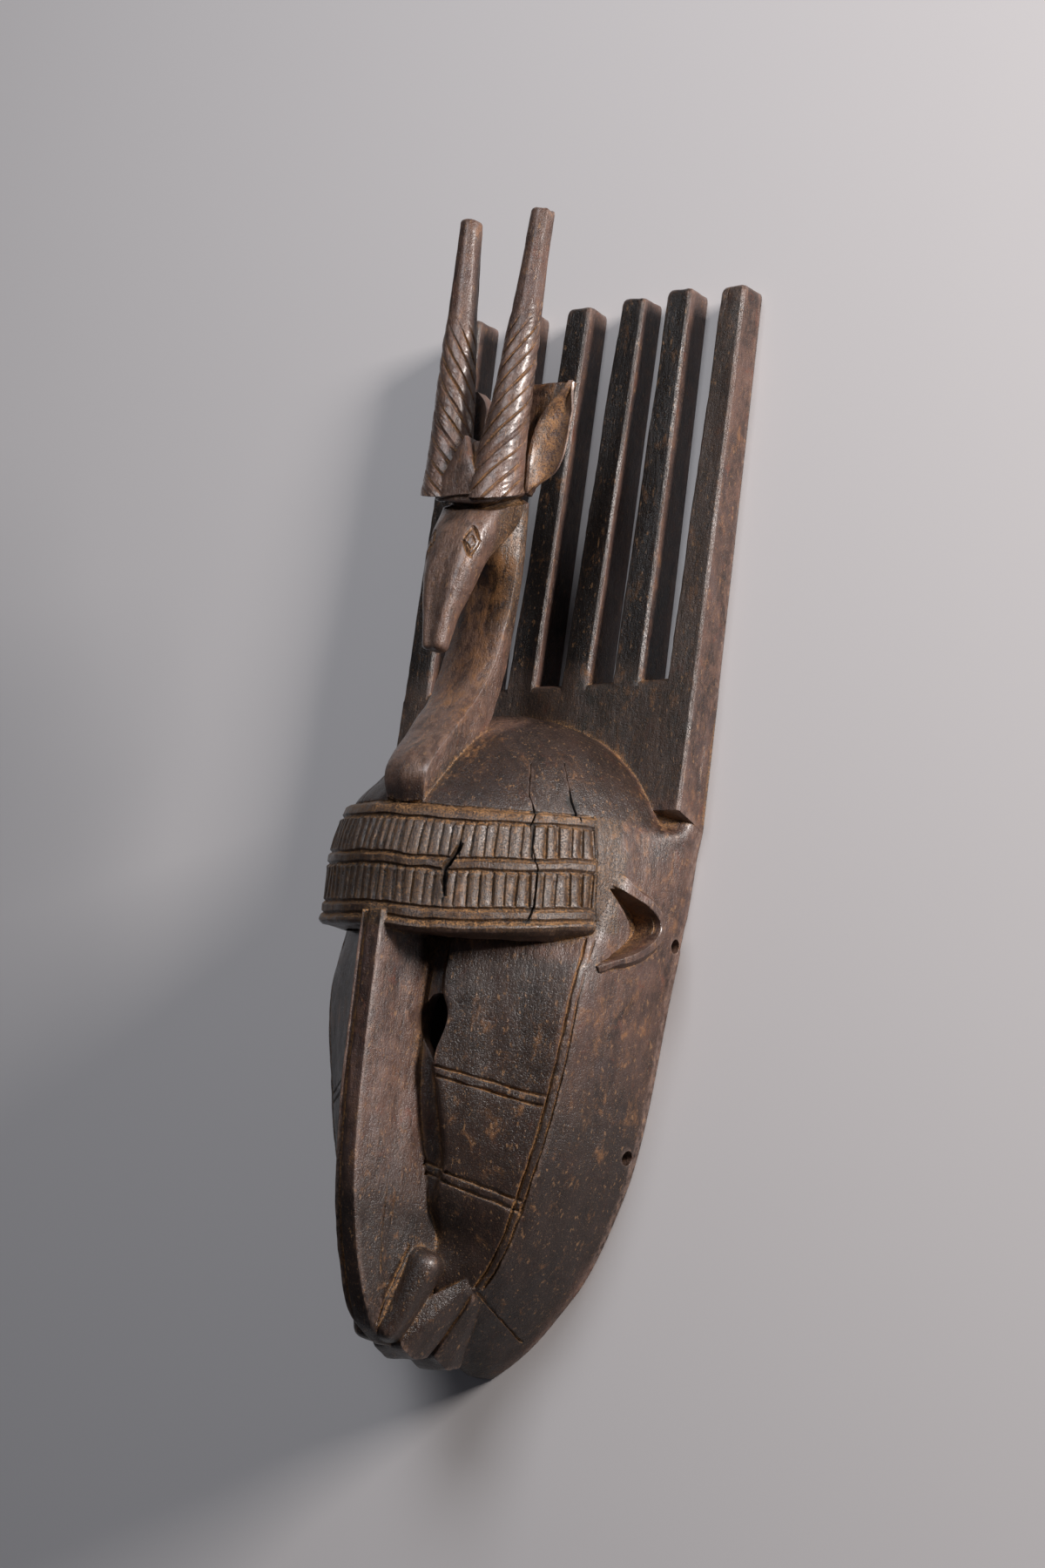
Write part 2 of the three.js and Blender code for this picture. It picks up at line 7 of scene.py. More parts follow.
import bpy
import numpy as np
from mathutils import Matrix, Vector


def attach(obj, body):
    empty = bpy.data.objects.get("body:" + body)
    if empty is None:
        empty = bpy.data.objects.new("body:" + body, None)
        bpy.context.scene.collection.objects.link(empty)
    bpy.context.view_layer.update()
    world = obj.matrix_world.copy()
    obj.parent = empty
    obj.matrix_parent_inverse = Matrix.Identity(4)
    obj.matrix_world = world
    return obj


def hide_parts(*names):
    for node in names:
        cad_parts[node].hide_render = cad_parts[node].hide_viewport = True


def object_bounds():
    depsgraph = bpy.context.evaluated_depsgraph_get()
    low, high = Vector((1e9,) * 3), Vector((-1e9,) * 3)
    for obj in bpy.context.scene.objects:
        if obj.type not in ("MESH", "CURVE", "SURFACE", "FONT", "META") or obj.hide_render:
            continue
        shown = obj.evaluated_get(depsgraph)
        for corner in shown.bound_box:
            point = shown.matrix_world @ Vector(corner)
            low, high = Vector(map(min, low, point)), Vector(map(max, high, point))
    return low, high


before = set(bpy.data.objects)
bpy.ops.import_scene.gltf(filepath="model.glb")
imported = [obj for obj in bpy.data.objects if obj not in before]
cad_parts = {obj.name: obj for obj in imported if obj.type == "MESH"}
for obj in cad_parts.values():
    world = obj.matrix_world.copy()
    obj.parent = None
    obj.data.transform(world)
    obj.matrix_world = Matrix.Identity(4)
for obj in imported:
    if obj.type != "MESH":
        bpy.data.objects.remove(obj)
cad_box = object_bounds()

MM = 0.001
LIP_END = -4.0
HORN_TOP = 618.0
MIDDLE = (LIP_END + HORN_TOP) / 2

# Back rim: half width at heights from the chin to the comb
RIM = [[-3, 5], [5, 17], [16, 30], [33, 45], [50, 58], [88, 75], [113, 82.5], [206, 93.5],
       [250, 98.5], [300, 101]]

# Comb
PRONGS = 6
PRONG_PITCH = 36.8
PRONG_WIDTH = 20.0
PRONG_TAPER = 2.0
PRONG_TOP = 600.0
PRONG_LEAN = [0, 0, 5, 6.5, 1, 1]
SLOT_FLOOR = 374.0
COMB_FOOT = 297.0
COMB_HALF = 102.0
COMB_DEPTH = [[COMB_FOOT, 24], [PRONG_TOP, 17]]
ARRIS = 1.5

# Dome of the forehead: superellipse sections that shrink to the crown
DOME_HALF = 96.5
DOME_HIGH = 135.0
DOME_LEVEL = 240.0
DOME_REACH = 111.0
DOME_POWER = 2.08
FLARE_HEIGHT = 34.0
FLARE_FLAT = 12.0
FLARE_BULGE = 1.4
BULGE_GROWS = (274, 290)
FLARE_STOPS = (284, 298)
FLARE_STAYS_BELOW = (8, 20)
CROWN_LIFT = 6.0
CROWN_GROWS = (290, 340)
CROWN_GROWS_ABOVE = (14, 62)

# Brow band
BROW_LOW = 211.5
BROW_HIGH = 279.8
BROW_RISE_LOW = 15.5
BROW_RISE_HIGH = 11.0
BROW_RISE_WIDTH = 90.0
BROW_END_LOW = 0.154
BROW_END_HIGH = 0.168
BROW_SLANT = 0.085
BROW_SLANT_FROM = 28.0
BROW_SLANT_END = 305.0
BROW_PROUD = 3.2
FILLET_LINES = [217.6, 224.1, 244.6, 251.0, 271.8]
LINE_SLOPE = 2.4
LINE_DEPTH = 1.7
HATCH_ROWS = [[224.9, 243.6], [251.8, 270.8]]
HATCHES = 38
HATCH_DEPTH = 2.0

# Cheeks, whose edge is a little wider over the heights where the wall turns into the dome
EDGE_SWELL = 4.0
WALL_TURNS = (186, 224)
EDGE_X = [[-3, 2], [8, 11], [35, 33], [50, 46], [93, 65.5], [145, 78.5], [195, 85.5],
          [228, 82.5], [245, 82]]
EDGE_Z = [[-3, 12], [8, 30], [35, 54], [50, 58], [93, 64], [145, 66], [195, 68], [228, 61],
          [245, 60]]
CHEEK_Z = [[-3, 14], [8, 40], [22, 62], [40, 74], [63, 79], [78, 94], [97, 103], [130, 115],
           [245, 116]]
NOSE_FOOT_X = 17.0
VALLEY_EDGE = [[62, 22], [70, 23], [82, 26], [96, 30], [118, 30.5], [139, 28.5], [150, 27],
               [157, 27.8], [176, 30.5], [184, 28.5], [203, 28], [245, 28]]
VALLEY_DROP = 10.0
VALLEY_DEPTH = [[56, 1], [66, 5], [76, 8], [97, 12], [122, 15], [245, 15.5]]
LINE_GAP = 4.0
CROSS_LINES = [[24, 147, 73, 137], [24, 142, 72, 132], [14, 99, 62, 83], [14, 94, 60, 78]]
FACE_OUT = np.array([0.64, 0.0, 0.77])

# Nose
NOSE_TOP = 222
RIDGE_Z = [[4, 93], [11, 104], [22, 113.5], [41, 123], [62, 129.5], [79, 134], [120, 138.5],
           [173, 140.5], [222, 141]]
NOSE_HALF = [[4, 2.5], [11, 7], [22, 12], [41, 16], [62, 17.5], [76, 17], [92, 16], [121, 13.8],
             [152, 12.3], [181, 12], [205, 12.6], [222, 12.8]]
STRIP_HALF = 6.4
LOBE_TURN = {1: 0.7, -1: np.pi - 0.7}

# Antelope
NECK_FRONT = [[278, 126], [300, 129], [327, 112], [346, 99], [365, 91], [390, 86], [410, 84],
              [437, 83.5], [462, 85]]
NECK_BACK = [[278, 96], [318, 88], [341, 83], [380, 78], [437, 78], [462, 80]]
NECK_HALF = [[278, 11.5], [300, 14.5], [346, 17], [372, 18.5], [430, 20], [462, 20]]
THROAT = 13.0
MUZZLE_END = 367.0
MUZZLE_HALF = [[MUZZLE_END, 7], [385, 9.5], [402, 13.8], [418, 17], [434, 19.4], [450, 20.2],
               [462, 20.2]]
MUZZLE_POWER = [[MUZZLE_END, 2.4], [380, 3.4], [410, 3.8], [436, 2.9], [462, 2.5]]
JAW_Z = [[MUZZLE_END, 113], [385, 109], [402, 104], [418, 99], [434, 92.5], [450, 86], [462, 82]]
BRIDGE_Z = [[MUZZLE_END, 124], [385, 123.5], [418, 121.5], [436, 117], [450, 111], [462, 108]]
EYE_OUTER = [[0.39, 436.3], [0.762, 427], [0.67, 417.4], [0.246, 428.2]]
EYE_INNER = [[0.449, 430.9], [0.663, 425.4], [0.576, 421.6], [0.367, 426.7]]
CAP_LOW = 449.0
CAP_SLANT = 0.47
CAP_LEAN = 0.12
CAP_FRONT = 117.0
CAP_HIGH = 486.0
NOTCH_BELOW = 1.6
HORN_X = [[454, 15.5], [490, 18.5], [515, 20], [550, 21.8], [HORN_TOP, 25]]
HORN_Z = 104.5
HORN_RADIUS = [[454, 15.5], [470, 14], [490, 12.2], [515, 10.8], [550, 9], [580, 7.8],
               [HORN_TOP, 6.7]]
FLUTES = 8
FLUTE_LEAD = 90.0
FLUTE_DEPTH = 1.7
FLUTES_END = 556.0
FLUTE_PLACE = [0, 0.07, 0.17, 0.4, 0.66, 0.91]
FLUTE_PROFILE = [1, 0.6, 0.04, -0.1, -0.08, 0.06]

# Antelope's ear: height, flap's inner edge, rim, rim's height over the back, outer edge
EAR_FOOT = 462
EAR_TIP = 524
EAR_LEVELS = [[EAR_FOOT, 10, 22.5, 88, 24], [466, 9.5, 24.5, 90, 29],
              [471, 9, 24.3, 90, 35], [480, 8.5, 23.8, 90, 41],
              [491, 8.5, 24.6, 90, 43.3], [504, 8.5, 28.8, 90, 44.2],
              [512, 9, 34.5, 89.5, 44.6], [518, 12, 40, 89, 45], [EAR_TIP, 18, 44, 88, 45.2]]

# Ear of the mask: its crest and the inner end of its hollow, as shares of the way, y and z
EAR_CREST = [[0, 252, 56], [0.17, 247.5, 42], [0.31, 244, 31], [0.39, 239.8, 25.5], [0.45, 235, 24],
             [0.51, 230.5, 26], [0.6, 225, 31.5], [0.74, 218, 41.5], [0.91, 211.5, 54], [1, 207, 60]]
EAR_INNER = [[0, 251.8, 59.2], [0.2, 243.1, 50.8], [0.42, 234.7, 43.2], [0.58, 227, 41.7],
             [0.8, 216.5, 50.6], [1, 208.4, 60.7]]
EAR_GROUND = [[0, 97], [30, 93], [66, 85]]

# Hollow behind the face
HOLLOW_HIGH = [[18, 8], [24, 24], [35, 38], [50, 50], [70, 62], [95, 77], [130, 89], [195, 92],
               [215, 95], [240, 110], [275, 103], [310, 62], [331, 10]]
HOLLOW_HALF = [[18, 6], [24, 20], [35, 32], [50, 44], [88, 61], [141, 71], [206, 79], [255, 82],
               [290, 70], [310, 52], [331, 12]]

# Eye hole: outline in x and y, and at each depth z how much it widens and shifts
EYE_OUTLINE = [[19, 186], [25, 184.8], [28.6, 181.6], [30.8, 176], [31.3, 170.5], [30.6, 165],
               [29.2, 160.5], [27.8, 156], [27.2, 151], [25.4, 147], [21.4, 147], [19.4, 151.5],
               [17, 156], [14, 160], [12, 164.5], [11.2, 170], [11.6, 176], [13.4, 181.6],
               [15.6, 184.8]]
EYE_LEVELS = [[60, 1.4, -12], [90, 1.15, -3], [98, 1, 0], [130, 1, 0]]

# Small cuts and cracks: paths with the way out of the wood, or with width and depth
JAW_PATH = [[32.4, 37, 57], [32.9, 30.6, 45.2], [31.8, 23, 27.4], [29.6, 16.1, 9.3]]
JAW_OUT = [[0.75, -0.25, 0.6], [0.85, -0.3, 0.4], [0.85, -0.5, 0.2], [0.8, -0.6, 0.1]]
NOSE_SCORES = [([[84, 114], [70, 112.6], [56, 111], [38, 107.5]], 0.6, 0.6),
               ([[78, 108], [64, 106.5]], 0.5, 0.4)]
LOBE_CREASE = [[12, 102], [26, 101], [39.4, 97.5], [55, 92.4]]
PRONG_CRACK = [[90.5, 600, 17.5], [90.3, 590, 17.6], [89.9, 581, 17.7]]
CRACKS = [([[48.3, 309.8], [56.7, 291.5], [61.3, 283.4], [62.7, 279.7], [62.8, 272.7],
            [67.6, 256.3], [69.5, 249.3], [69.9, 231.1], [68.1, 221]], 0.9, 2.8),
          ([[56.8, 313.4], [65.6, 299.9], [69.3, 292.6], [75.6, 279.6]], 0.8, 2.4),
          ([[40, 259.5], [38.2, 254], [37.2, 250.5], [34.6, 246], [35.4, 238], [36.1, 230]],
           3.6, 5),
          ([[-30, 330], [-36, 306], [-38, 284]], 0.8, 2.2)]
CRACK_BESIDE = 5.0
CRACK_DEEPEST = 7.0
RUBBED_MOST = 0.16

# Patterns in the wood: stretch, shift, scale, detail, roughness and distortion of a noise
WOOD_PATTERNS = {
    "grain": ((1, 0.12, 1), (0, 0, 0), 760, 4, 0.65, 0.3),
    "fibre": ((1, 0.2, 1), (4, 2, 9), 300, 5, 0.7, 0.4),
    "mottle": ((1, 0.55, 1), (0, 0, 0), 42, 7, 0.68, 0.4),
    "small": ((1, 0.6, 1), (2, 6, 1), 190, 5, 0.7, 0.3),
    "cloud": ((1, 0.6, 1), (3, 1, 2), 80, 5, 0.68, 0.5),
    "ember": ((1, 0.6, 1), (8, 3, 5), 120, 6, 0.72, 0.5),
    "honey": ((1, 0.6, 1), (1, 9, 4), 95, 7, 0.74, 0.6),
    "speck": ((1, 1, 1), (0, 0, 0), 1000, 3, 0.6, 0),
    "fleck": ((1, 0.45, 1), (7, 5, 1), 480, 3, 0.6, 0)}

# Colours of the wood, of its painted sheen, shade and highlights, and what they are multiplied by
STAIN_DARKEST = (0.019, 0.011, 0.009)
STAIN = (0.078, 0.046, 0.037)
STAIN_RED = (0.12, 0.066, 0.046)
FIBRE = (0.125, 0.08, 0.064)
# Violet-grey patches of painted sheen
PAINTED_SHEEN = (0.066, 0.051, 0.055)
EMBER = (0.12, 0.04, 0.022)
PORES = (0.01, 0.007, 0.006)
# Darker grey-green of the comb's front faces
COMB_FRONT_TINT = (0.026, 0.027, 0.023)
# Colour of painted shade
SHADE_BLACK = (0.009, 0.007, 0.006)
# Paler rubbed wood, also used as painted light on the antelope's front faces
HANDLED_AND_LIT = (0.16, 0.105, 0.08)
HONEY = (0.22, 0.11, 0.044)
# Colour of rubbed arrises, partly a painted highlight
WORN_AND_HIGHLIGHT = (0.2, 0.14, 0.118)
DUST = (0.3, 0.165, 0.062)
FLECK = (0.25, 0.15, 0.075)
SPECK = (0.3, 0.2, 0.12)
WARMER = (1.0, 0.92, 0.86)
CORNER_REACH = 0.0026
ARRIS_ROUND = 0.0008

# The photograph's camera: where it stands, how it is turned, and where it shows its aim
VIEW_AROUND = np.radians(39.5)
VIEW_UP = np.radians(-12.1)
VIEW_ROLL = np.radians(7.2)
VIEW_DISTANCE = 2.0
VIEW_AIM = np.array([0.0, -0.007, 0.06])
PICTURE_LONG = 1800
FOCAL_PIXELS = 4270
AIM_RIGHT = -42
AIM_DOWN = 18

SIDES = (1, -1)


def through(knots, y):
    """Smooth value at y through knots of place and value.

    Each stretch is a cubic whose end slopes are the means of the chords on both sides."""
    place, value = np.array(knots, float).T
    y = np.clip(np.asarray(y, float), place[0], place[-1])
    i = np.clip(np.searchsorted(place, y, side="right") - 1, 0, len(place) - 2)
    chord = np.diff(value) / np.diff(place)
    slope = np.concatenate([chord[:1], (chord[1:] + chord[:-1]) / 2, chord[-1:]])
    span = place[i + 1] - place[i]
    t = (y - place[i]) / span
    rise = t * t * (3 - 2 * t)
    bend = span * (slope[i] * t * (1 - t) ** 2 - slope[i + 1] * t * t * (1 - t))
    return value[i] + (value[i + 1] - value[i]) * rise + bend


def ease(low, high, value):
    """Smooth step: 0 below low, 1 above high, 3t^2 - 2t^3 between."""
    t = np.clip((np.asarray(value, float) - low) / (high - low), 0, 1)
    return t * t * (3 - 2 * t)


def past(low, high, value):
    """The same step downwards: 1 below low, 0 above high."""
    return 1 - ease(low, high, value)


def within(low, full, fades, gone, value):
    """Smooth window: up from low to full, down from fades to gone."""
    return ease(low, full, value) * past(fades, gone, value)


def inside(low, high, value):
    """1 between low and high, with hard ends."""
    return (value > low) * (value < high)


def unit(vectors):
    """Vectors divided by their lengths."""
    return vectors / np.linalg.norm(vectors, axis=-1, keepdims=True)


def evenly(low, high, spacing):
    return np.linspace(low, high, max(2, round((high - low) / spacing) + 1))


def stacked(*parts):
    """Points from x, y and z arrays of any matching shapes."""
    return np.stack(np.broadcast_arrays(*parts), -1).astype(float)


def run(keys, counts):
    """Open line through key points: straight stretches of counts steps each.

    keys has the shape levels, keys, axes; the result has the shape levels, points, axes."""
    pieces = []
    for k, count in enumerate(counts):
        t = (np.arange(count) / count)[None, :, None]
        pieces.append(keys[:, k, None] * (1 - t) + keys[:, k + 1, None] * t)
    return np.concatenate(pieces + [keys[:, -1:]], axis=1)


def keyed(keys):
    """Key points from their coordinates, each a number or an array over the levels."""
    return np.stack([stacked(*key) for key in keys], axis=1)


def closed(keys, counts):
    """Closed rings through key points, each side in its count of steps."""
    return run(keyed(keys + keys[:1]), counts)[:, :-1]


def softened(line):
    """Corners of an open line rounded: each point moves to a 1-2-1 mean of its neighbours."""
    inner = (line[:, :-2] + 2 * line[:, 1:-1] + line[:, 2:]) / 4
    return np.concatenate([line[:, :1], inner, line[:, -1:]], axis=1)


def rounded(ring, along=1):
    """Corners of a closed ring rounded in the same way."""
    return (np.roll(ring, 1, along) + 2 * ring + np.roll(ring, -1, along)) / 4


def mirrored(half, y):
    """Closed rings from right halves of x and z: over the front and back down the left."""
    left = half[:, ::-1] * [-1, 1]
    keep = slice(1, None) if np.allclose(half[:, -1, 0], 0) else slice(None)
    both = np.concatenate([half, left[:, keep]], axis=1)
    if np.allclose(half[:, 0, 0], 0):
        both = both[:, :-1]
    return stacked(both[..., 0], np.asarray(y)[:, None], both[..., 1])


def turned_out(points, triangles):
    """Triangles whose faces point outwards: flipped where the enclosed volume is negative."""
    a, b, c = (points[triangles[:, k]] for k in range(3))
    volume = np.einsum("ij,ij->i", a, np.cross(b, c)).sum()
    return triangles if volume > 0 else triangles[:, ::-1]


def as_object(name, points, triangles):
    mesh = bpy.data.meshes.new(name)
    mesh.from_pydata(points.tolist(), [], triangles.tolist())
    mesh.update()
    made = bpy.data.objects.new(name, mesh)
    bpy.context.scene.collection.objects.link(made)
    return made


def loft(rings):
    """Closed body through rings of equal length.

    Neighbouring rings are joined by quads, and a fan to its middle closes each end ring."""
    levels, size = rings.shape[:2]
    ends = [rings[0].mean(0)[None], rings[-1].mean(0)[None]]
    points = np.concatenate([rings.reshape(-1, 3)] + ends)
    level, i = np.meshgrid(np.arange(levels - 1), np.arange(size), indexing="ij")
    a = (level * size + i).ravel()
    b = (level * size + (i + 1) % size).ravel()
    first = np.arange(size)
    second = (first + 1) % size
    last = (levels - 1) * size
    foot = np.full(size, levels * size)
    corners = [[a, b, b + size], [a, b + size, a + size], [second, first, foot],
               [last + first, last + second, foot + 1]]
    triangles = np.concatenate([np.stack(three, -1) for three in corners])
    return as_object("form", points, turned_out(points, triangles))


def wave(points, seed, longest, shortest, count=14):
    """Gentle uneven height: a sum of sines in set directions, from the longest wavelength
    to the shortest, scaled to about plus or minus one."""
    draw = np.random.default_rng(seed)
    direction = unit(draw.normal(size=(count, 3)))
    length = np.geomspace(longest, shortest, count)
    phase = draw.uniform(0, 2 * np.pi, count)
    angle = points @ (direction / length[:, None]).T * 2 * np.pi + phase
    return np.sin(angle).sum(-1) / np.sqrt(count)


def brow_rise(x, y):
    """Lift of the brow's lines: the fourth power of the share of the half width, and a slant
    up to the left."""
    fade = np.clip((np.asarray(y, float) - BROW_LOW) / (BROW_HIGH - BROW_LOW), 0, 2)
    rise = np.maximum(0, BROW_RISE_LOW + (BROW_RISE_HIGH - BROW_RISE_LOW) * fade)
    slant = BROW_SLANT * np.maximum(0, BROW_SLANT_FROM - x) * past(BROW_HIGH, BROW_SLANT_END, y)
    return rise * (np.abs(x) / BROW_RISE_WIDTH) ** 4 + slant


def on_dome(turn, y, proud=0.0):
    """Point on the dome: turn 0 is the right rim, 0.5 the front and 1 the left rim.

    The section is a superellipse that shrinks to the crown as another superellipse, and its
    foot flares out to the rim's width."""
    turn, y, proud = np.broadcast_arrays(np.asarray(turn, float), y, proud)
    across = np.cos(turn * np.pi)
    out = np.maximum(0, np.sin(turn * np.pi))
    above = np.maximum(0, y - DOME_LEVEL) / DOME_REACH
    shrink = np.maximum(0, 1 - above ** DOME_POWER) ** (1 / DOME_POWER)
    reach = (np.abs(across) ** DOME_POWER + out ** DOME_POWER) ** (-1 / DOME_POWER)
    z = (DOME_HIGH * shrink + proud) * reach * out
    place = y + brow_rise(DOME_HALF, y)
    flare = through(RIM, place) + FLARE_BULGE * ease(*BULGE_GROWS, place) - DOME_HALF * shrink
    flare = flare * np.clip(1 - (z - FLARE_FLAT) / FLARE_HEIGHT, 0, 1) ** 2
    flare = flare * (1 - ease(*FLARE_STOPS, place) * ease(*FLARE_STAYS_BELOW, z))
    x = (DOME_HALF * shrink + proud) * reach * across
    x = x + np.sign(across) * flare * np.abs(reach * across) ** 0.3
    crown = CROWN_LIFT * ease(*CROWN_GROWS, y) * ease(*CROWN_GROWS_ABOVE, z)
    return stacked(x, y + brow_rise(x, y) + crown, z)


def dome_normal(turn, y, proud=0.0):
    """Outward direction on the dome, from the cross product of its two slopes."""
    along = on_dome(turn + 0.01, y, proud) - on_dome(turn - 0.01, y, proud)
    up = on_dome(turn, y + 1, proud) - on_dome(turn, y - 1, proud)
    return unit(np.cross(up, along))


def dome():
    """Forehead: dome sections stacked from the brow to the crown, drawn in at their foot."""
    y = np.concatenate([evenly(BROW_LOW, 338, 2.8), [341, 344, 347, 349, 351]])
    proud = -2.5 * past(BROW_LOW, 226, y)
    return loft(on_dome(np.linspace(0, 1, 125)[None], y[:, None], proud[:, None]))


def band_turn(share, y):
    """Turn at a share of the way along the band, whose ends slant."""
    up = (np.asarray(y, float) - BROW_LOW) / (BROW_HIGH - BROW_LOW)
    end = BROW_END_LOW + (BROW_END_HIGH - BROW_END_LOW) * up
    return end + (1 - 2 * end) * share


def band_profile():
    """Heights up the band and how proud it stands there: fillets between cut lines, each
    cut steep above and sloping out below."""
    profile = [[BROW_LOW, BROW_PROUD - 1.2], [BROW_LOW + 0.7, BROW_PROUD],
               [BROW_LOW + 1.8, BROW_PROUD + 0.8], [BROW_LOW + 3.2, BROW_PROUD + 0.5]]
    for line in FILLET_LINES:
        profile.append([line - LINE_SLOPE, BROW_PROUD + 0.1])
        profile.append([line - LINE_SLOPE * 0.6, BROW_PROUD - LINE_DEPTH * 0.35])
        profile.append([line - 0.25, BROW_PROUD - LINE_DEPTH])
        profile.append([line + 0.3, BROW_PROUD - LINE_DEPTH * 0.7])
        profile.append([line + 0.7, BROW_PROUD - 0.1])
    profile += [[BROW_HIGH - 2.8, BROW_PROUD + 0.1], [BROW_HIGH - 2.0, BROW_PROUD - 0.4],
                [BROW_HIGH - 0.5, 0.4], [BROW_HIGH, -0.6]]
    for low, high in HATCH_ROWS:
        profile += [[y, BROW_PROUD - 0.25] for y in evenly(low + 1.4, high - 2.9, 3.0)]
    return np.array(sorted(profile))


def hatch_lines(draw):
    """Places along one hatch row and how deep each lies: a steep side, then a slope that
    rises gently to the next pad, uneven as hand cuts are."""
    half = draw.uniform(0.2, 0.3, HATCHES)[:, None]
    middle = (np.arange(HATCHES) + 0.5 + draw.uniform(-0.09, 0.09, HATCHES))[:, None]
    steps = half * [-1, -0.72, -0.5, 0.3, 1]
    place = middle + np.concatenate([steps, np.full_like(half, 0.5)], axis=1)
    depth = draw.uniform(0.65, 1.15, HATCHES)[:, None] * [0.02, 1, 0.95, 0.4, 0.02, 0]
    lean = np.repeat(draw.uniform(-0.14, 0.14, HATCHES), 6)
    return place.ravel() / HATCHES, depth.ravel(), lean / HATCHES


def brow_band():
    """The band: a profile of fillets and lines swept across the brow, with two rows of
    upright hatches sunk into it by their depth."""
    profile = band_profile()
    y = profile[:, :1]
    draw = np.random.default_rng(7)
    rows = [hatch_lines(draw) for _ in HATCH_ROWS]
    upper = ease(FILLET_LINES[2], FILLET_LINES[3], y)
    place = rows[0][0] * (1 - upper) + rows[1][0] * upper
    depth = np.zeros_like(place)
    for (low, high), (_, cut, lean) in zip(HATCH_ROWS, rows):
        in_row = within(low - 0.5, low + 0.9, high - 0.9, high + 0.5, y)
        ripple = 1 + 0.15 * np.sin(y * 0.9 + np.arange(len(cut)) * 1.7)
        depth = depth + HATCH_DEPTH * cut * in_row * ripple
        place = place + lean * in_row * (y - (low + high) / 2) / (high - low)
    ends = np.ones_like(y)
    place = np.clip(place, 0.004, 0.996)
    place = np.concatenate([ends * [0, 0.002], place, ends * [0.998, 1]], axis=1)
    depth = np.pad(depth, ((0, 0), (2, 2)))
    fade = 0.55 + 0.45 * ease(0, 0.05, place) * ease(0, 0.05, 1 - place)
    proud = profile[:, 1:] * fade - depth
    wobble = 0.35 * wave(stacked(place * 250, y, 0), 11, 60, 14)
    front = on_dome(band_turn(place, y), y + wobble * (y > BROW_LOW + 1), proud)
    turn = band_turn(place[[0, -1]], y[[0, -1]])
    back = on_dome(turn, y[[0, -1]], -10.0)
    rings = np.concatenate([back[:1], front, back[1:]])
    return loft(np.swapaxes(rings, 0, 1))


def cheek_edge(y):
    """Half width at the cheek's edge, a little wider near the brow."""
    return through(EDGE_X, y) + EDGE_SWELL * ease(*WALL_TURNS, y)


def on_cheek(x, y):
    """Cheek height: the straight line from the nose's foot out to the edge, less the valley
    that drops smoothly beside the nose."""
    edge = cheek_edge(y)
    low = through(EDGE_Z, y)
    foot = np.minimum(NOSE_FOOT_X, edge * 0.6)
    line = low + (through(CHEEK_Z, y) - low) * (edge - np.maximum(x, foot)) / (edge - foot)
    drop = through(VALLEY_EDGE, y) + 1.2
    return line - through(VALLEY_DEPTH, y) * ease(0, VALLEY_DROP, drop - x)


def face():
    """Walls and cheeks: the wall falls back from the edge as a parabola that turns into the
    dome's section near the brow, and the cheek rises from the edge to the nose."""
    y = np.concatenate([[-3, -1.5, 0], evenly(2, 262, 2.5)])
    rim = through(RIM, y) - 0.6 * (y > 228)
    edge = through(EDGE_X, y)
    share = np.linspace(0, 1, 24)
    up = through(EDGE_Z, y)[:, None] * share
    plain = rim[:, None] - (rim - edge)[:, None] * share ** 2
    turn = np.linspace(0, 0.42, 120)
    below = y[:, None] - brow_rise(on_dome(turn, DOME_LEVEL)[:, 0], y[:, None] - BROW_RISE_LOW)
    rows = on_dome(turn, below)
    under = np.stack([np.interp(u, row[:, 2], row[:, 0]) for u, row in zip(up, rows)])
    under = under + (0.4 - 1.9 * ease(240, 260, y))[:, None]
    meet = ease(*WALL_TURNS, y)[:, None] * ease(0, 12, up)
    wall = stacked(plain * (1 - meet) + under * meet, up)
    across = np.concatenate([np.linspace(0, 0.54, 15)[:-1], np.linspace(0.54, 0.8, 17),
                             np.linspace(0.85, 1, 4)])
    x = wall[:, -1:, 0] * (1 - across)
    cheek = stacked(x, on_cheek(x, y[:, None]))
    half = np.concatenate([wall[:, :-1], cheek], axis=1)
    return loft(mirrored(softened(half), y))


def nose_keys(y):
    """The nose at heights y: half width and height at its foot and at its strip."""
    ridge = through(RIDGE_Z, y)
    depth = through(VALLEY_DEPTH, y)
    foot = through(NOSE_HALF, y) + 0.07 * depth
    low = np.minimum(through(CHEEK_Z, y) - depth, ridge - 6)
    strip = np.minimum(STRIP_HALF, through(NOSE_HALF, y) * 0.62)
    return foot, low, strip, ridge


def nose_side(y, z):
    """Place on the nose's flat side."""
    foot, low, strip, ridge = nose_keys(y)
    share = (z - low) / (ridge - 1.8 - low)
    return stacked(foot + (strip + 0.9 - foot) * share, y, z)


def nose():
    """Long straight nose: flat sides up to a strip whose left part holds a cut line."""
    y = np.concatenate([evenly(4, 22, 1.6), evenly(24, NOSE_TOP, 2.6)])
    foot, low, strip, ridge = nose_keys(y)
    cut = ease(12, 30, y)
    right = [(foot * 0.97, np.maximum(low - 10, 12)), (foot, low),
             (strip + 0.9, ridge - 1.8), (strip, ridge - 0.1)]
    across = [(-0.3 * strip, ridge), (-0.42 * strip, ridge - 0.5 * cut),
              (-0.6 * strip, ridge - 3.2 * cut), (-0.86 * strip, ridge - 0.5 * cut)]
    left = [(-x, z) for x, z in reversed(right)]
    line = run(keyed(right + across + left), [3, 18, 2, 5, 1, 2, 2, 1, 2, 18, 3])
    return loft(stacked(line[..., 0], y[:, None], line[..., 1]))


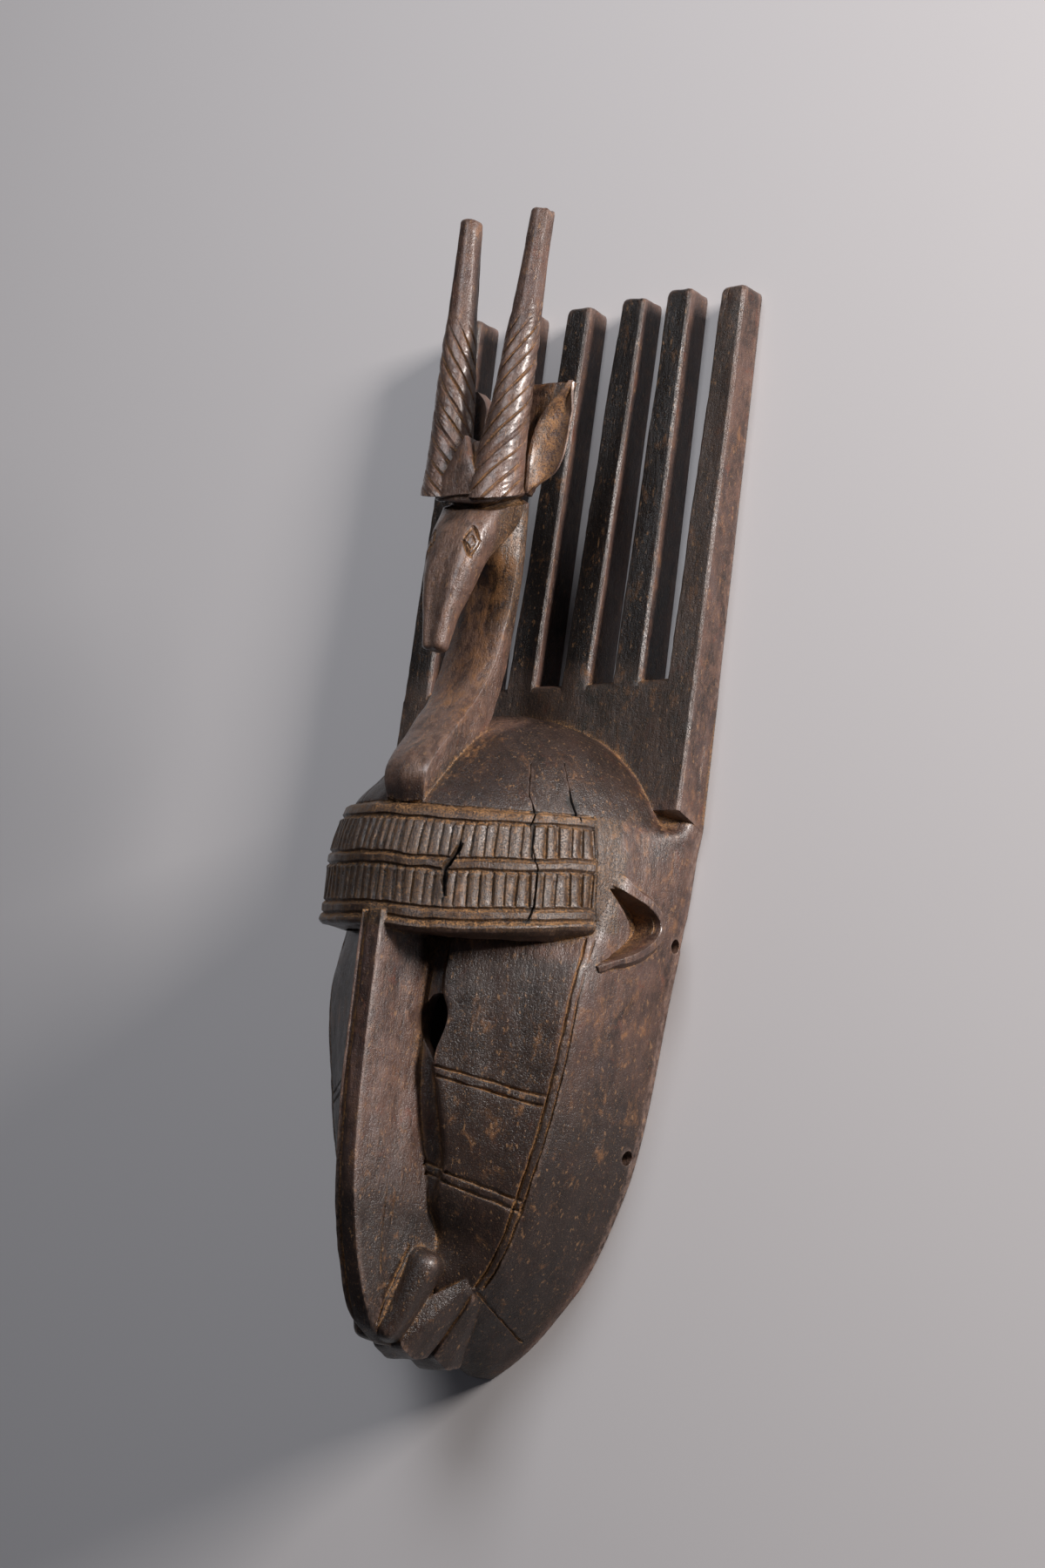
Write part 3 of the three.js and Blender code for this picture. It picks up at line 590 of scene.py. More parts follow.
def finger(start, end, radius_start, radius_end, ridge_turn, sides=32):
    """Lobe: rounded triangles along a straight line, one corner a ridge turned by
    ridge_turn, drawn in at both ends as half balls."""
    start, end = np.array(start, float), np.array(end, float)
    along = unit(end - start)
    across = unit(np.cross(along, [0, 0, 1]))
    up = np.cross(across, along)
    tilt = np.linspace(-0.48, 0, 9)
    turn = (np.concatenate([tilt, np.zeros(6), -tilt[::-1]]) * np.pi)[:, None]
    place = np.concatenate([np.zeros(9), np.linspace(0, 1, 8)[1:-1], np.ones(9)])[:, None]
    radius = radius_start + (radius_end - radius_start) * place
    centre = start + (end - start) * place + along * radius * np.sin(turn) * 0.8
    angle = np.arange(sides) / sides * 2 * np.pi
    ridge = 1 + 0.13 * np.cos(3 * (angle - ridge_turn))
    spoke = across * (np.cos(angle) * ridge)[:, None] + up * (np.sin(angle) * ridge)[:, None]
    return loft(centre[:, None] + (radius * np.cos(turn))[..., None] * spoke)


def lip(front_y, top_z, bottom_z, corner_y, corner_z, half):
    """Lip: a wedge across the mouth, flat in the middle and drawn back to both corners."""
    across = np.linspace(-1, 1, 41)
    back = np.clip((np.abs(across) - 0.3) / 0.7, 0, 1)
    front = front_y + (corner_y - front_y) * back
    top = top_z + (corner_z + 4 - top_z) * back
    bottom = bottom_z + (corner_z - 4 - bottom_z) * back
    depth = 26 - 18 * back
    keys = [(front + depth, top), (front + 6 - 5 * back, top), (front, (top + bottom) / 2 - 1),
            (front + 3 - 3 * back, bottom), (front + depth, bottom)]
    return loft(rounded(closed([(across * half, y, z) for y, z in keys], [6] * 5)))


def ear_path(knots, share):
    """Heights y and z at shares of the way along a line of the ear."""
    knots = np.array(knots)
    return through(knots[:, [0, 1]], share), through(knots[:, [0, 2]], share)


def crescent_ear(side):
    """Ear of the mask: a flange that runs to a corner and back, steep inside and sloping out."""
    share = np.linspace(0, 1, 65)
    y, z = ear_path(EAR_CREST, share)
    away_y, away_z = unit(np.stack([-np.gradient(z), np.gradient(y)], -1)).T
    lift = np.sin(share * np.pi)
    outer = 89.0 + 12.0 * lift ** 0.7
    wall = 0.7 + 0.5 * lift
    crest = 2.2 + 1.6 * lift + 5 * past(0, 0.36, share) ** 2
    slope = crest + 5.5 * lift ** 0.7
    ground = through(EAR_GROUND, z)
    keys = [(ground - 7, -wall), (outer - 0.5, -wall), (outer, -wall * 0.4),
            (outer - 0.3, crest), (outer - 1.6, crest + 0.8), (ground + 0.3, slope),
            (ground - 7, slope)]
    keys = [(side * height, y + away_y * out, z + away_z * out) for height, out in keys]
    return loft(closed(keys, [5, 1, 2, 1, 5, 3, 2]))


def ear_scoop(side):
    """Hollow inside the ear: a cut that starts with a step at its inner edge and deepens
    towards the flange."""
    share = np.linspace(0.05, 0.95, 49)
    rim_y, rim_z = ear_path(EAR_CREST, share)
    inner_y, inner_z = ear_path(EAR_INNER, share)
    lift = np.sin(share * np.pi) ** 0.5
    step = 3.4 - 2.6 * ease(0.45, 0.8, share)
    keys = []
    for part, deep in [(0.09, -14), (0.09, 10.5 * lift), (0.45, 9.5 * lift),
                       (0.8, 7.5 * lift), (1.0, step), (1.0, -14)]:
        y = rim_y + (inner_y - rim_y) * part
        z = rim_z + (inner_z - rim_z) * part
        keys.append((side * (through(EAR_GROUND, z) - deep), y, z))
    return loft(closed(keys, [4, 3, 3, 2, 4, 5]))


def comb_block(low_x, high_x, low_y, high_y, lean=0.0, taper=0.0, foot=0.0):
    """Slab of the comb: a box with rubbed-down front arrises and a chamfered top, leaning and
    narrowing with height; foot slants its underside."""
    y = np.concatenate([evenly(low_y, high_y - 4, 5.5), [high_y - 2.2, high_y - 0.8, high_y]])
    inset = np.concatenate([np.zeros(len(y) - 3), [0.3, 1.0, 2.2]])
    share = (y - low_y) / (high_y - low_y)
    left = low_x + (lean + taper) * share + inset
    right = high_x + (lean - taper) * share - inset
    z = through(COMB_DEPTH, y) - inset * 1.1
    keys = [(left, y, 0), (right, y, 0), (right, y, z - ARRIS), (right - ARRIS, y, z),
            (left + ARRIS, y, z), (left, y, z - ARRIS)]
    wide = max(3, round((high_x - low_x) / 5))
    rings = closed(keys, [wide, 5, 1, wide, 1, 5])
    slant = foot * (rings[..., 2] / COMB_DEPTH[0][1] - 0.6)
    rings[..., 1] += slant * past(low_y, low_y + 12, rings[..., 1])
    return loft(rings)


def comb():
    """Slab behind the crown and its row of prongs, the outer ones flush with its sides."""
    pieces = [comb_block(-COMB_HALF, COMB_HALF, COMB_FOOT, SLOT_FLOOR, foot=7)]
    for i in range(PRONGS):
        centre = (i - (PRONGS - 1) / 2) * PRONG_PITCH
        outer = abs(centre) > 2 * PRONG_PITCH
        right = COMB_HALF if centre > 0 and outer else centre + PRONG_WIDTH / 2
        left = -COMB_HALF if centre < 0 and outer else centre - PRONG_WIDTH / 2
        top = PRONG_TOP + 1.5 * np.sin(i * 2.1)
        foot = COMB_FOOT + 6 if outer else COMB_FOOT + 40
        share = (foot - COMB_FOOT) / (top - COMB_FOOT)
        lean = PRONG_LEAN[i]
        low_left = left + (lean + PRONG_TAPER) * share
        low_right = right + (lean - PRONG_TAPER) * share
        pieces.append(comb_block(low_left, low_right, foot, top, lean * (1 - share),
                                 PRONG_TAPER * (1 - share)))
    return pieces


def neck():
    """Antelope's neck: a gently rounded front with sharp edges and narrow sides."""
    y = evenly(278, 462, 3)
    half, front, back = (through(knots, y) for knots in (NECK_HALF, NECK_FRONT, NECK_BACK))
    swell = np.minimum((front - back) * 0.28, 3.0)[:, None]
    crown = swell * 0.5 + 1 + THROAT * ease(410, 440, y)[:, None]
    t = np.linspace(0, 1, 10)[None]
    rear = stacked(half[:, None] * t, back[:, None] - swell * 0.5 * (1 - t ** 2))
    side = run(keyed([(half, back), (half, front - 1)]), [8])
    rise = crown * (1 - (1 - t) ** 2)
    fore = stacked(half[:, None] * (1 - t), front[:, None] - 1 + rise)
    line = np.concatenate([rear[:, :-1], side[:, :-1], fore], axis=1)
    return loft(mirrored(line, y))


def on_muzzle(turn, y):
    """Antelope's face at a turn of 0 down its middle and 1 at the widest place, where its
    section is a superellipse, squarer near the small round end, with a shallow dip."""
    turn, y = np.broadcast_arrays(np.asarray(turn, float), y)
    pinch = np.interp(y - MUZZLE_END, [0, 0.4, 1, 2], [0.6, 0.8, 0.92, 1])
    half = through(MUZZLE_HALF, y) * pinch
    top = through(BRIDGE_Z, y)
    low = through(JAW_Z, y)
    power = through(MUZZLE_POWER, y)
    across = np.sin(turn * np.pi / 2) ** (2 / power)
    over = np.maximum(0, np.cos(turn * np.pi / 2)) ** (2 / power)
    dip = 1.3 * np.exp(-(across / 0.5) ** 2) * past(412, 436, y)
    z = low + 0.42 * (top - low) + (top - low) * 0.58 * pinch * over - dip * (across < 1)
    return stacked(half * across, y, z)


def muzzle():
    """Antelope's face over its throat, which is bent up from the jaw."""
    y = np.concatenate([MUZZLE_END + np.array([0, 0.4, 1.0, 2.0]), evenly(370.5, 462, 2)])
    over = on_muzzle(np.linspace(1, 0, 21)[None], y[:, None])[..., [0, 2]]
    half, waist = over[:, 0].T
    rise = through(BRIDGE_Z, y) - waist
    merge = ease(416, 446, y)
    under = [(0, waist - rise * (0.75 + 0.15 * merge)),
             (half * (0.6 + 0.38 * merge), waist - rise * (0.68 + 0.2 * merge)),
             (half * (0.93 + 0.06 * merge), waist - rise * (0.3 + 0.5 * merge)), (half, waist)]
    line = np.concatenate([run(keyed(under), [4, 4, 3])[:, :-1], over], axis=1)
    return loft(mirrored(line, y))


def cap_foot(x, z):
    """Height of the cap's foot, which slants up towards the back and the left."""
    return CAP_LOW + CAP_SLANT * (CAP_FRONT - z) - CAP_LEAN * x


def slanted(rings):
    """Rings of the cap or of what stands in it, their foot slanted as the cap's is."""
    slant = cap_foot(rings[..., 0], rings[..., 2]) - CAP_LOW
    rings[..., 1] += slant * past(CAP_LOW, CAP_LOW + 24, rings[..., 1])
    return rings


def cap():
    """Cap that overhangs the head: its section shrinks upwards."""
    y = CAP_LOW + np.array([0, 0.8, 2.2, 6, 12, 18, 22, 27, CAP_HIGH - CAP_LOW])
    grow = np.array([-1.8, -0.6, 0, -0.3, -0.8, -1.2, -1.6, -3.5, -7])
    keys = [(0, 73 + 0 * grow), (18 + grow, 73), (23 + grow, 81), (23 + grow, 94),
            (20 + grow, 111 + grow), (15 + grow, 116 + grow), (0, 117.5 + grow)]
    return loft(slanted(mirrored(softened(run(keyed(keys), [5, 4, 5, 6, 3, 6])), y)))


def leaf_peak():
    """Pointed leaf between the horns: rounded edges, its tip thinned."""
    y = evenly(CAP_LOW + 4, 487.6, 2)
    half = through([[454, 14], [464, 12], [472, 8.2], [481, 4], [488, 0.4]], y)
    top = 119 - 3 * ease(472, 488, y)
    t = np.linspace(0, 1, 9)[None]
    fore = stacked(half[:, None] * (1 - t), top[:, None] - 1.6 * (1 - t) ** 3)
    side = run(keyed([(0, 101 + 0 * half), (half, 101), (half, top - 1.6)]), [3, 5])
    return loft(mirrored(np.concatenate([side[:, :-1], fore], axis=1), y))


def horn(side):
    """Horn: a tapering round whose narrow cuts follow a helix, and eight facets above them.
    The points of each ring turn with the helix, so that the cuts stay crisp."""
    y = np.concatenate([evenly(CAP_LOW + 4, FLUTES_END + 6, 1.8),
                        evenly(565, HORN_TOP - 2, 5), [HORN_TOP - 0.8, HORN_TOP]])[:, None]
    centre = side * through(HORN_X, y)
    radius = through(HORN_RADIUS, y)
    radius[-2:, 0] *= [0.95, 0.84]
    draw = np.random.default_rng(17 + side)
    shift = draw.uniform(-0.09, 0.09, FLUTES)[:, None]
    share = ((np.arange(FLUTES)[:, None] + shift + FLUTE_PLACE) / FLUTES).ravel()
    twist = np.minimum(y, FLUTES_END + 6) / FLUTE_LEAD
    angle = -side * (share[None] + twist) * 2 * np.pi
    fluted = past(FLUTES_END - 8, FLUTES_END + 5, y)
    bark = stacked(8 * np.cos(angle), y, 8 * np.sin(angle))
    uneven = (1 + 0.25 * wave(bark, 19, 30, 6)) * np.minimum(1, radius / 10)
    cut = FLUTE_DEPTH * np.tile(FLUTE_PROFILE, FLUTES) * fluted * uneven
    eighth = np.pi / 4
    facet = np.cos(eighth / 2) / np.cos((angle + 0.3) % eighth - eighth / 2)
    reach = (radius - cut) * (1 + (facet - 1) * (1 - fluted))
    rings = stacked(centre + reach * np.cos(angle), y, HORN_Z + reach * np.sin(angle))
    chipped = 0.9 * wave(rings[-2:] * [1, 0, 1], 23, 12, 5)
    rings[-2:, :, 1] -= np.maximum(0, chipped + 0.4)
    return loft(slanted(rings))


def ear_level(column, y):
    """Column of the antelope ear's table at heights y."""
    return through(np.array(EAR_LEVELS)[:, [0, column]], y)


def leaf_ear(side):
    """Antelope's ear: a hollowed leaf between a raised rim and its outer edge, with a flap
    from the rim to the horn, each level a bent strip."""
    y = evenly(EAR_FOOT, EAR_TIP, 2)
    inner, ridge, ridge_z, outer = (ear_level(k, y) for k in (1, 2, 3, 4))
    hollowed = within(EAR_FOOT, 470, 517, 523, y)
    wide = outer - ridge
    edge_z = ridge_z - np.minimum(8, 1.5 + 0.5 * wide)
    keys = [(inner, edge_z - 4), (ridge + 1, edge_z - 4), (outer, edge_z - 0.8),
            (outer - 0.6, edge_z + 0.5), (outer - 0.18 * wide, edge_z + 0.3 - 0.4 * hollowed),
            (ridge + 0.5 * wide, (edge_z + ridge_z) / 2 - 0.8 - 3 * hollowed),
            (ridge + 0.14 * wide + 1.5, ridge_z - 1.6 - 3.6 * hollowed),
            (ridge + 1.5, ridge_z - 0.7), (ridge, ridge_z), (ridge - 2.0, ridge_z - 2.4),
            (inner, ridge_z + 1.0)]
    keys = [(side * x, y, z) for x, z in keys]
    return loft(closed(keys, [4, 4, 1, 2, 3, 3, 2, 1, 1, 4, 4]))


def hollow():
    """The bowl behind the face: half ellipses down its length, marked by a gouge."""
    y = evenly(18, 331, 4.5)[:, None]
    wide = through(HOLLOW_HALF, y)
    deep = through(HOLLOW_HIGH, y)
    turn = np.linspace(0, np.pi, 49)[None]
    arch = stacked(wide * np.cos(turn), y, deep * np.sin(turn))
    gouge = 0.8 * wave(arch * [1, 0.6, 1], 21, 40, 11) * np.sin(turn)
    arch = arch + unit(arch * [1, 0, 1]) * (gouge - 0.6)[..., None]
    right, left = (stacked(side * wide, y, -5) for side in SIDES)
    return loft(np.concatenate([right, arch, left], axis=1))


def drill(centre, along, radius, sides=24):
    """Round cutter: two circles about a centre, joined."""
    direction = unit(np.array(along, float))
    across = unit(np.cross(direction, [0.1, 1, 0.2]))
    up = np.cross(direction, across)
    angle = np.arange(sides)[:, None] / sides * 2 * np.pi
    circle = radius * (across * np.cos(angle) + up * np.sin(angle))
    ends = np.array(centre) + np.array([[-0.5], [0.5]]) * along
    return loft(ends[:, None] + circle[None])


def eye_hole(side):
    """Eye: an upright almond through the wall that narrows to a short slot below, and
    widens inwards, more towards the nose."""
    ring = np.array(EYE_OUTLINE, float)
    for _ in range(2):
        ring = np.stack([ring, (ring + np.roll(ring, -1, 0)) / 2], 1).reshape(-1, 2)
        ring = rounded(ring, 0)
    lift, widen, shift = np.array(EYE_LEVELS).T[..., None]
    middle = ring.mean(0)
    flat = middle + (ring - middle) * widen[..., None]
    return loft(stacked(side * (flat[..., 0] + shift), flat[..., 1], lift))


def groove(path, out, width, depth, seed=1, spacing=2.5, fade=3.0):
    """Hand cut line: a narrow V carried along a path, unsteady in place, width and depth,
    and running out at both ends."""
    path = np.array(path, float)
    out = np.broadcast_to(np.array(out, float), path.shape)
    travel = np.concatenate([[0], np.cumsum(np.linalg.norm(np.diff(path, axis=0), axis=1))])
    place = evenly(0, travel[-1], spacing)
    line, up = (np.stack([np.interp(place, travel, column) for column in rows.T], -1)
                for rows in (path, out))
    up = unit(up)
    side = unit(np.cross(np.gradient(line, axis=0), up))
    draw = np.random.default_rng(seed)
    drift, thick, sunk = (np.convolve(draw.uniform(-1, 1, len(place) + 2), [0.25, 0.5, 0.25],
                                      "valid")[:, None] for _ in range(3))
    line = line + side * (drift * 0.3)
    left_over = np.minimum(place, place[-1] - place)
    run_out = np.minimum(1, (left_over + 0.2 * fade) / fade)[:, None]
    half = width / 2 * (1 + 0.35 * thick) * (0.5 + 0.5 * run_out)
    deep = depth * (1 + 0.3 * sunk) * run_out
    spread_out = side * half * (1 + 1 / np.maximum(deep, 0.3))
    above = line + up
    below = line - up * deep
    edge = side * half * 0.12
    return loft(np.stack([above - spread_out, above + spread_out, below + edge, below - edge],
                         axis=1))


def face_line(side, places, width, depth, seed):
    """Line on the cheek through places of x and y."""
    places = np.array(places, float)
    if len(places) == 2:
        places = places[0] + (places[1] - places[0]) * np.linspace(0, 1, 15)[:, None]
    x, y = places.T
    points = stacked(side * x, y, on_cheek(x, y))
    return groove(points, FACE_OUT * [side, 1, 1], width, depth, seed)


def cheek_lines(side):
    """Twin lines along the cheek's edge, and two pairs of lines across the cheek."""
    y = evenly(38, NOSE_TOP, 9)
    cuts = []
    for k, inset in enumerate((0.4, LINE_GAP)):
        along = stacked(cheek_edge(y) - inset, y)
        cuts.append(face_line(side, along, 2.0, 1.9, 31 + k + side))
    for k, (from_x, from_y, to_x, to_y) in enumerate(CROSS_LINES):
        ends = [[from_x, from_y], [to_x, to_y]]
        cuts.append(face_line(side, ends, 1.9, 1.6, 41 + k + side))
    return cuts


def jaw_line(side):
    """Cut from the corner of the mouth back to the rim."""
    mirror = [side, 1, 1]
    return groove(np.array(JAW_PATH) * mirror, np.array(JAW_OUT) * mirror, 1.3, 1.2, 51)


def antelope_eye(side):
    """Rhombus eye on the side of the face: four cut lines round a raised middle, and four
    finer ones within, through corners of turn and y."""
    mirror = [side, 1, 1]
    cuts = []
    for corners, width, depth in ((EYE_OUTER, 1.8, 1.6), (EYE_INNER, 1.1, 1.1)):
        turn, y = np.array(corners + corners[:1]).T
        places = on_muzzle(turn, y) * mirror
        out = np.cross(on_muzzle(turn + 0.02, y) - on_muzzle(turn - 0.02, y),
                       on_muzzle(turn, y + 1) - on_muzzle(turn, y - 1))
        out = unit(out) * np.sign(out[:, 2:]) * mirror
        for k in range(4):
            two = slice(k, k + 2)
            cuts.append(groove(places[two], out[two], width, depth, 61 + k, 1.5, 0.6))
    return cuts


def cap_notch():
    """Deep groove round the head, close under the cap's slanted foot."""
    cuts = []
    for side in SIDES:
        turn = np.linspace(-0.12, 1, 28)
        y = np.full(28, CAP_LOW)
        for _ in range(4):
            place = on_muzzle(np.abs(turn), y) * stacked(np.sign(turn) * side, 1, 1)
            y = cap_foot(place[:, 0], place[:, 2]) - NOTCH_BELOW
        z = place[-1, 2] - np.linspace(2, 22, 8)
        x = np.full(8, place[-1, 0])
        path = np.concatenate([place, stacked(x, cap_foot(x, z) - NOTCH_BELOW, z)])
        lean = np.pad(turn, (0, 8), mode="edge") * np.pi / 2
        out = stacked(np.sin(lean) * side, 0, np.cos(lean))
        cuts.append(groove(path, out, 5.2, 4.2, 55 + side, 2.0))
    return cuts


def dome_line(places, width, depth, seed, proud=0.0):
    """Line on the dome through places of turn and y."""
    turn, y = np.array(places, float).T
    return groove(on_dome(turn, y, proud), dome_normal(turn, y, proud), width, depth, seed, 2.0)


def turn_at(x, y):
    """Turn on the dome at which its surface has this x, found on a fine row of turns."""
    row = np.linspace(0.02, 0.98, 400)
    return float(np.interp(-x, -on_dome(row, y)[:, 0], row))


def crack_path(points):
    """Path on the dome under traced places of x and y, a step every 2 mm."""
    points = np.array([[turn_at(x, y), y - float(brow_rise(x, y))] for x, y in points])
    steps = evenly(0, len(points) - 1, 0.1)
    turn, y = (np.interp(steps, np.arange(len(points)), points[:, k]) for k in (0, 1))
    proud = np.where(y < BROW_HIGH - 1, BROW_PROUD - 0.4, 0.0)
    return on_dome(turn, y, proud), dome_normal(turn, y, proud)


def checks():
    """Drying cracks with the grain, over the dome and through the band."""
    return [groove(*crack_path(points), width, depth, 71 + k, 1.5)
            for k, (points, width, depth) in enumerate(CRACKS)]


def band_ends(side):
    """Upright line at the band's end."""
    y = evenly(BROW_LOW + 3, 276, 10)
    turn = band_turn(0.003, y)
    turn = turn if side > 0 else 1 - turn
    return [dome_line(np.stack([turn, y], -1), 1.6, 1.2, 81 + side, proud=1.6)]


def scratches():
    """Fine scores on the nose's right side, the creases over its lobes, a short crack in the
    right prong's top, and the line where the dome rises behind the band."""
    cuts = []
    for path, width, depth in NOSE_SCORES:
        cuts.append(groove(nose_side(*np.array(path).T), [0.93, 0, 0.36], width, depth, 91))
    crease = nose_side(*np.array(LOBE_CREASE).T)
    for side in SIDES:
        mirror = np.array([side, 1, 1])
        cuts.append(groove(crease * mirror, [0.7, 0.35, 0.62] * mirror, 1.4, 1.6, 93))
    cuts.append(groove(PRONG_CRACK, [0, 0, 1], 0.6, 1.5, 95))
    turn = np.linspace(0.172, 0.828, 60)
    cuts.append(dome_line(stacked(turn, BROW_HIGH + 0.3), 1.3, 0.9, 97))
    return cuts


def combined(first, others, operation):
    """First form joined with or cut by the others, as one mesh."""
    for number, other in enumerate(others):
        step = first.modifiers.new(f"step {number}", "BOOLEAN")
        step.operation = operation
        step.solver = "MANIFOLD"
        step.object = other
    graph = bpy.context.evaluated_depsgraph_get()
    mesh = bpy.data.meshes.new_from_object(first.evaluated_get(graph))
    for used in [first] + list(others):
        old = used.data
        bpy.data.objects.remove(used)
        bpy.data.meshes.remove(old)
    result = bpy.data.objects.new("mask_carving", mesh)
    bpy.context.scene.collection.objects.link(result)
    return result


def carved():
    """The whole carving: all forms joined, then hollowed, drilled and cut."""
    forms = [dome(), brow_band(), nose(), neck(), muzzle(), cap(), leaf_peak(), *comb()]
    forms += [lip(-2, 85, 60, 36, 60, 31), lip(LIP_END, 57, 33, 31, 54, 31)]
    cuts = [hollow(), *checks(), *scratches(), *cap_notch()]
    for side in SIDES:
        lobe = finger([side * 4.5, 12.5, 91], [side * 18.6, 46.5, 84], 9.4, 10.6, LOBE_TURN[side])
        forms += [lobe, crescent_ear(side), horn(side), leaf_ear(side)]
        cuts += [eye_hole(side), ear_scoop(side), drill([side * 92, 230, 4.9], [30, 0, 0], 3.7)]
        cuts += [drill([side * 78, 116, 8], [30, 0, 0], 4), jaw_line(side)]
        cuts += cheek_lines(side) + antelope_eye(side) + band_ends(side)
    whole = combined(face(), forms, "UNION")
    return combined(whole, cuts, "DIFFERENCE")


def read(rows, name, width, kind=float):
    """Values of a mesh's rows as an array, width of them to a row."""
    flat = np.empty(len(rows) * width, kind)
    rows.foreach_get(name, flat)
    return flat.reshape(-1, width)


def spread(values, edges, times, share=0.5):
    """Values evened out along the edges: each moves a share of the way to its neighbours'
    mean."""
    a, b = edges.T
    count = len(values)
    ones = np.maximum(np.bincount(edges.ravel(), minlength=count), 1)
    columns = np.array(values, float).reshape(count, -1).T.copy()
    for _ in range(times):
        for k, column in enumerate(columns):
            total = np.bincount(a, column[b], count) + np.bincount(b, column[a], count)
            columns[k] = column + share * (total / ones - column)
    return columns.T.reshape(np.shape(values))


def hand_finish(piece):
    """Uneven tool-worked surface: every point moves along its normal by gentle waves, the
    sharpest arrises are rubbed down a little, and all stays inside the block."""
    mesh = piece.data
    points = read(mesh.vertices, "co", 3)
    edges = read(mesh.edges, "vertices", 2, np.int64)
    normal = read(mesh.vertex_normals, "vector", 3)
    lifted = ease(0.5, 6, points[:, 2:])
    tool = 0.32 * wave(points * [1, 0.55, 1], 3, 34, 13) + 0.12 * wave(points, 4, 12, 7)
    points = points + normal * tool[:, None] * lifted
    shift = (spread(points, edges, 2, 0.4) - points) * 0.5 * lifted
    far = np.linalg.norm(shift, axis=1)[:, None]
    points = points + shift * np.minimum(1, RUBBED_MOST / np.maximum(far, 1e-6))
    points = (points - [0, MIDDLE, 0]) * MM
    points = np.clip(points, *np.array(cad_box))
    mesh.vertices.foreach_set("co", points.ravel())
    mesh.update()


def relief(points, normal, edges):
    """How far each point stands out of its close and of its wider surroundings: its height
    over the evened-out surface, in lengths of its edges."""
    step = np.linalg.norm(points[edges[:, 0]] - points[edges[:, 1]], axis=1)
    reach = np.bincount(edges.ravel(), np.repeat(step, 2)) / np.bincount(edges.ravel())
    reach = np.maximum(spread(reach, edges, 6), 0.4)
    near = spread(points, edges, 4)
    far = spread(near, edges, 40)
    fine, broad = (((points - even) * normal).sum(1) / reach for even in (near, far))
    return spread(fine, edges, 1), broad


def in_cracks(points):
    """1 at points in a drying crack: close to its path sideways, by the square of the distance,
    and below it."""
    deep = np.zeros(len(points))
    for places, _, _ in CRACKS:
        for place, out in zip(*crack_path(places)):
            height = (points - place) @ out
            aside = ((points - place) ** 2).sum(1) - height ** 2
            near = (aside < CRACK_BESIDE) * (height > -CRACK_DEEPEST)
            deep = np.maximum(deep, near * ease(0.1, 0.5, -height))
    return deep


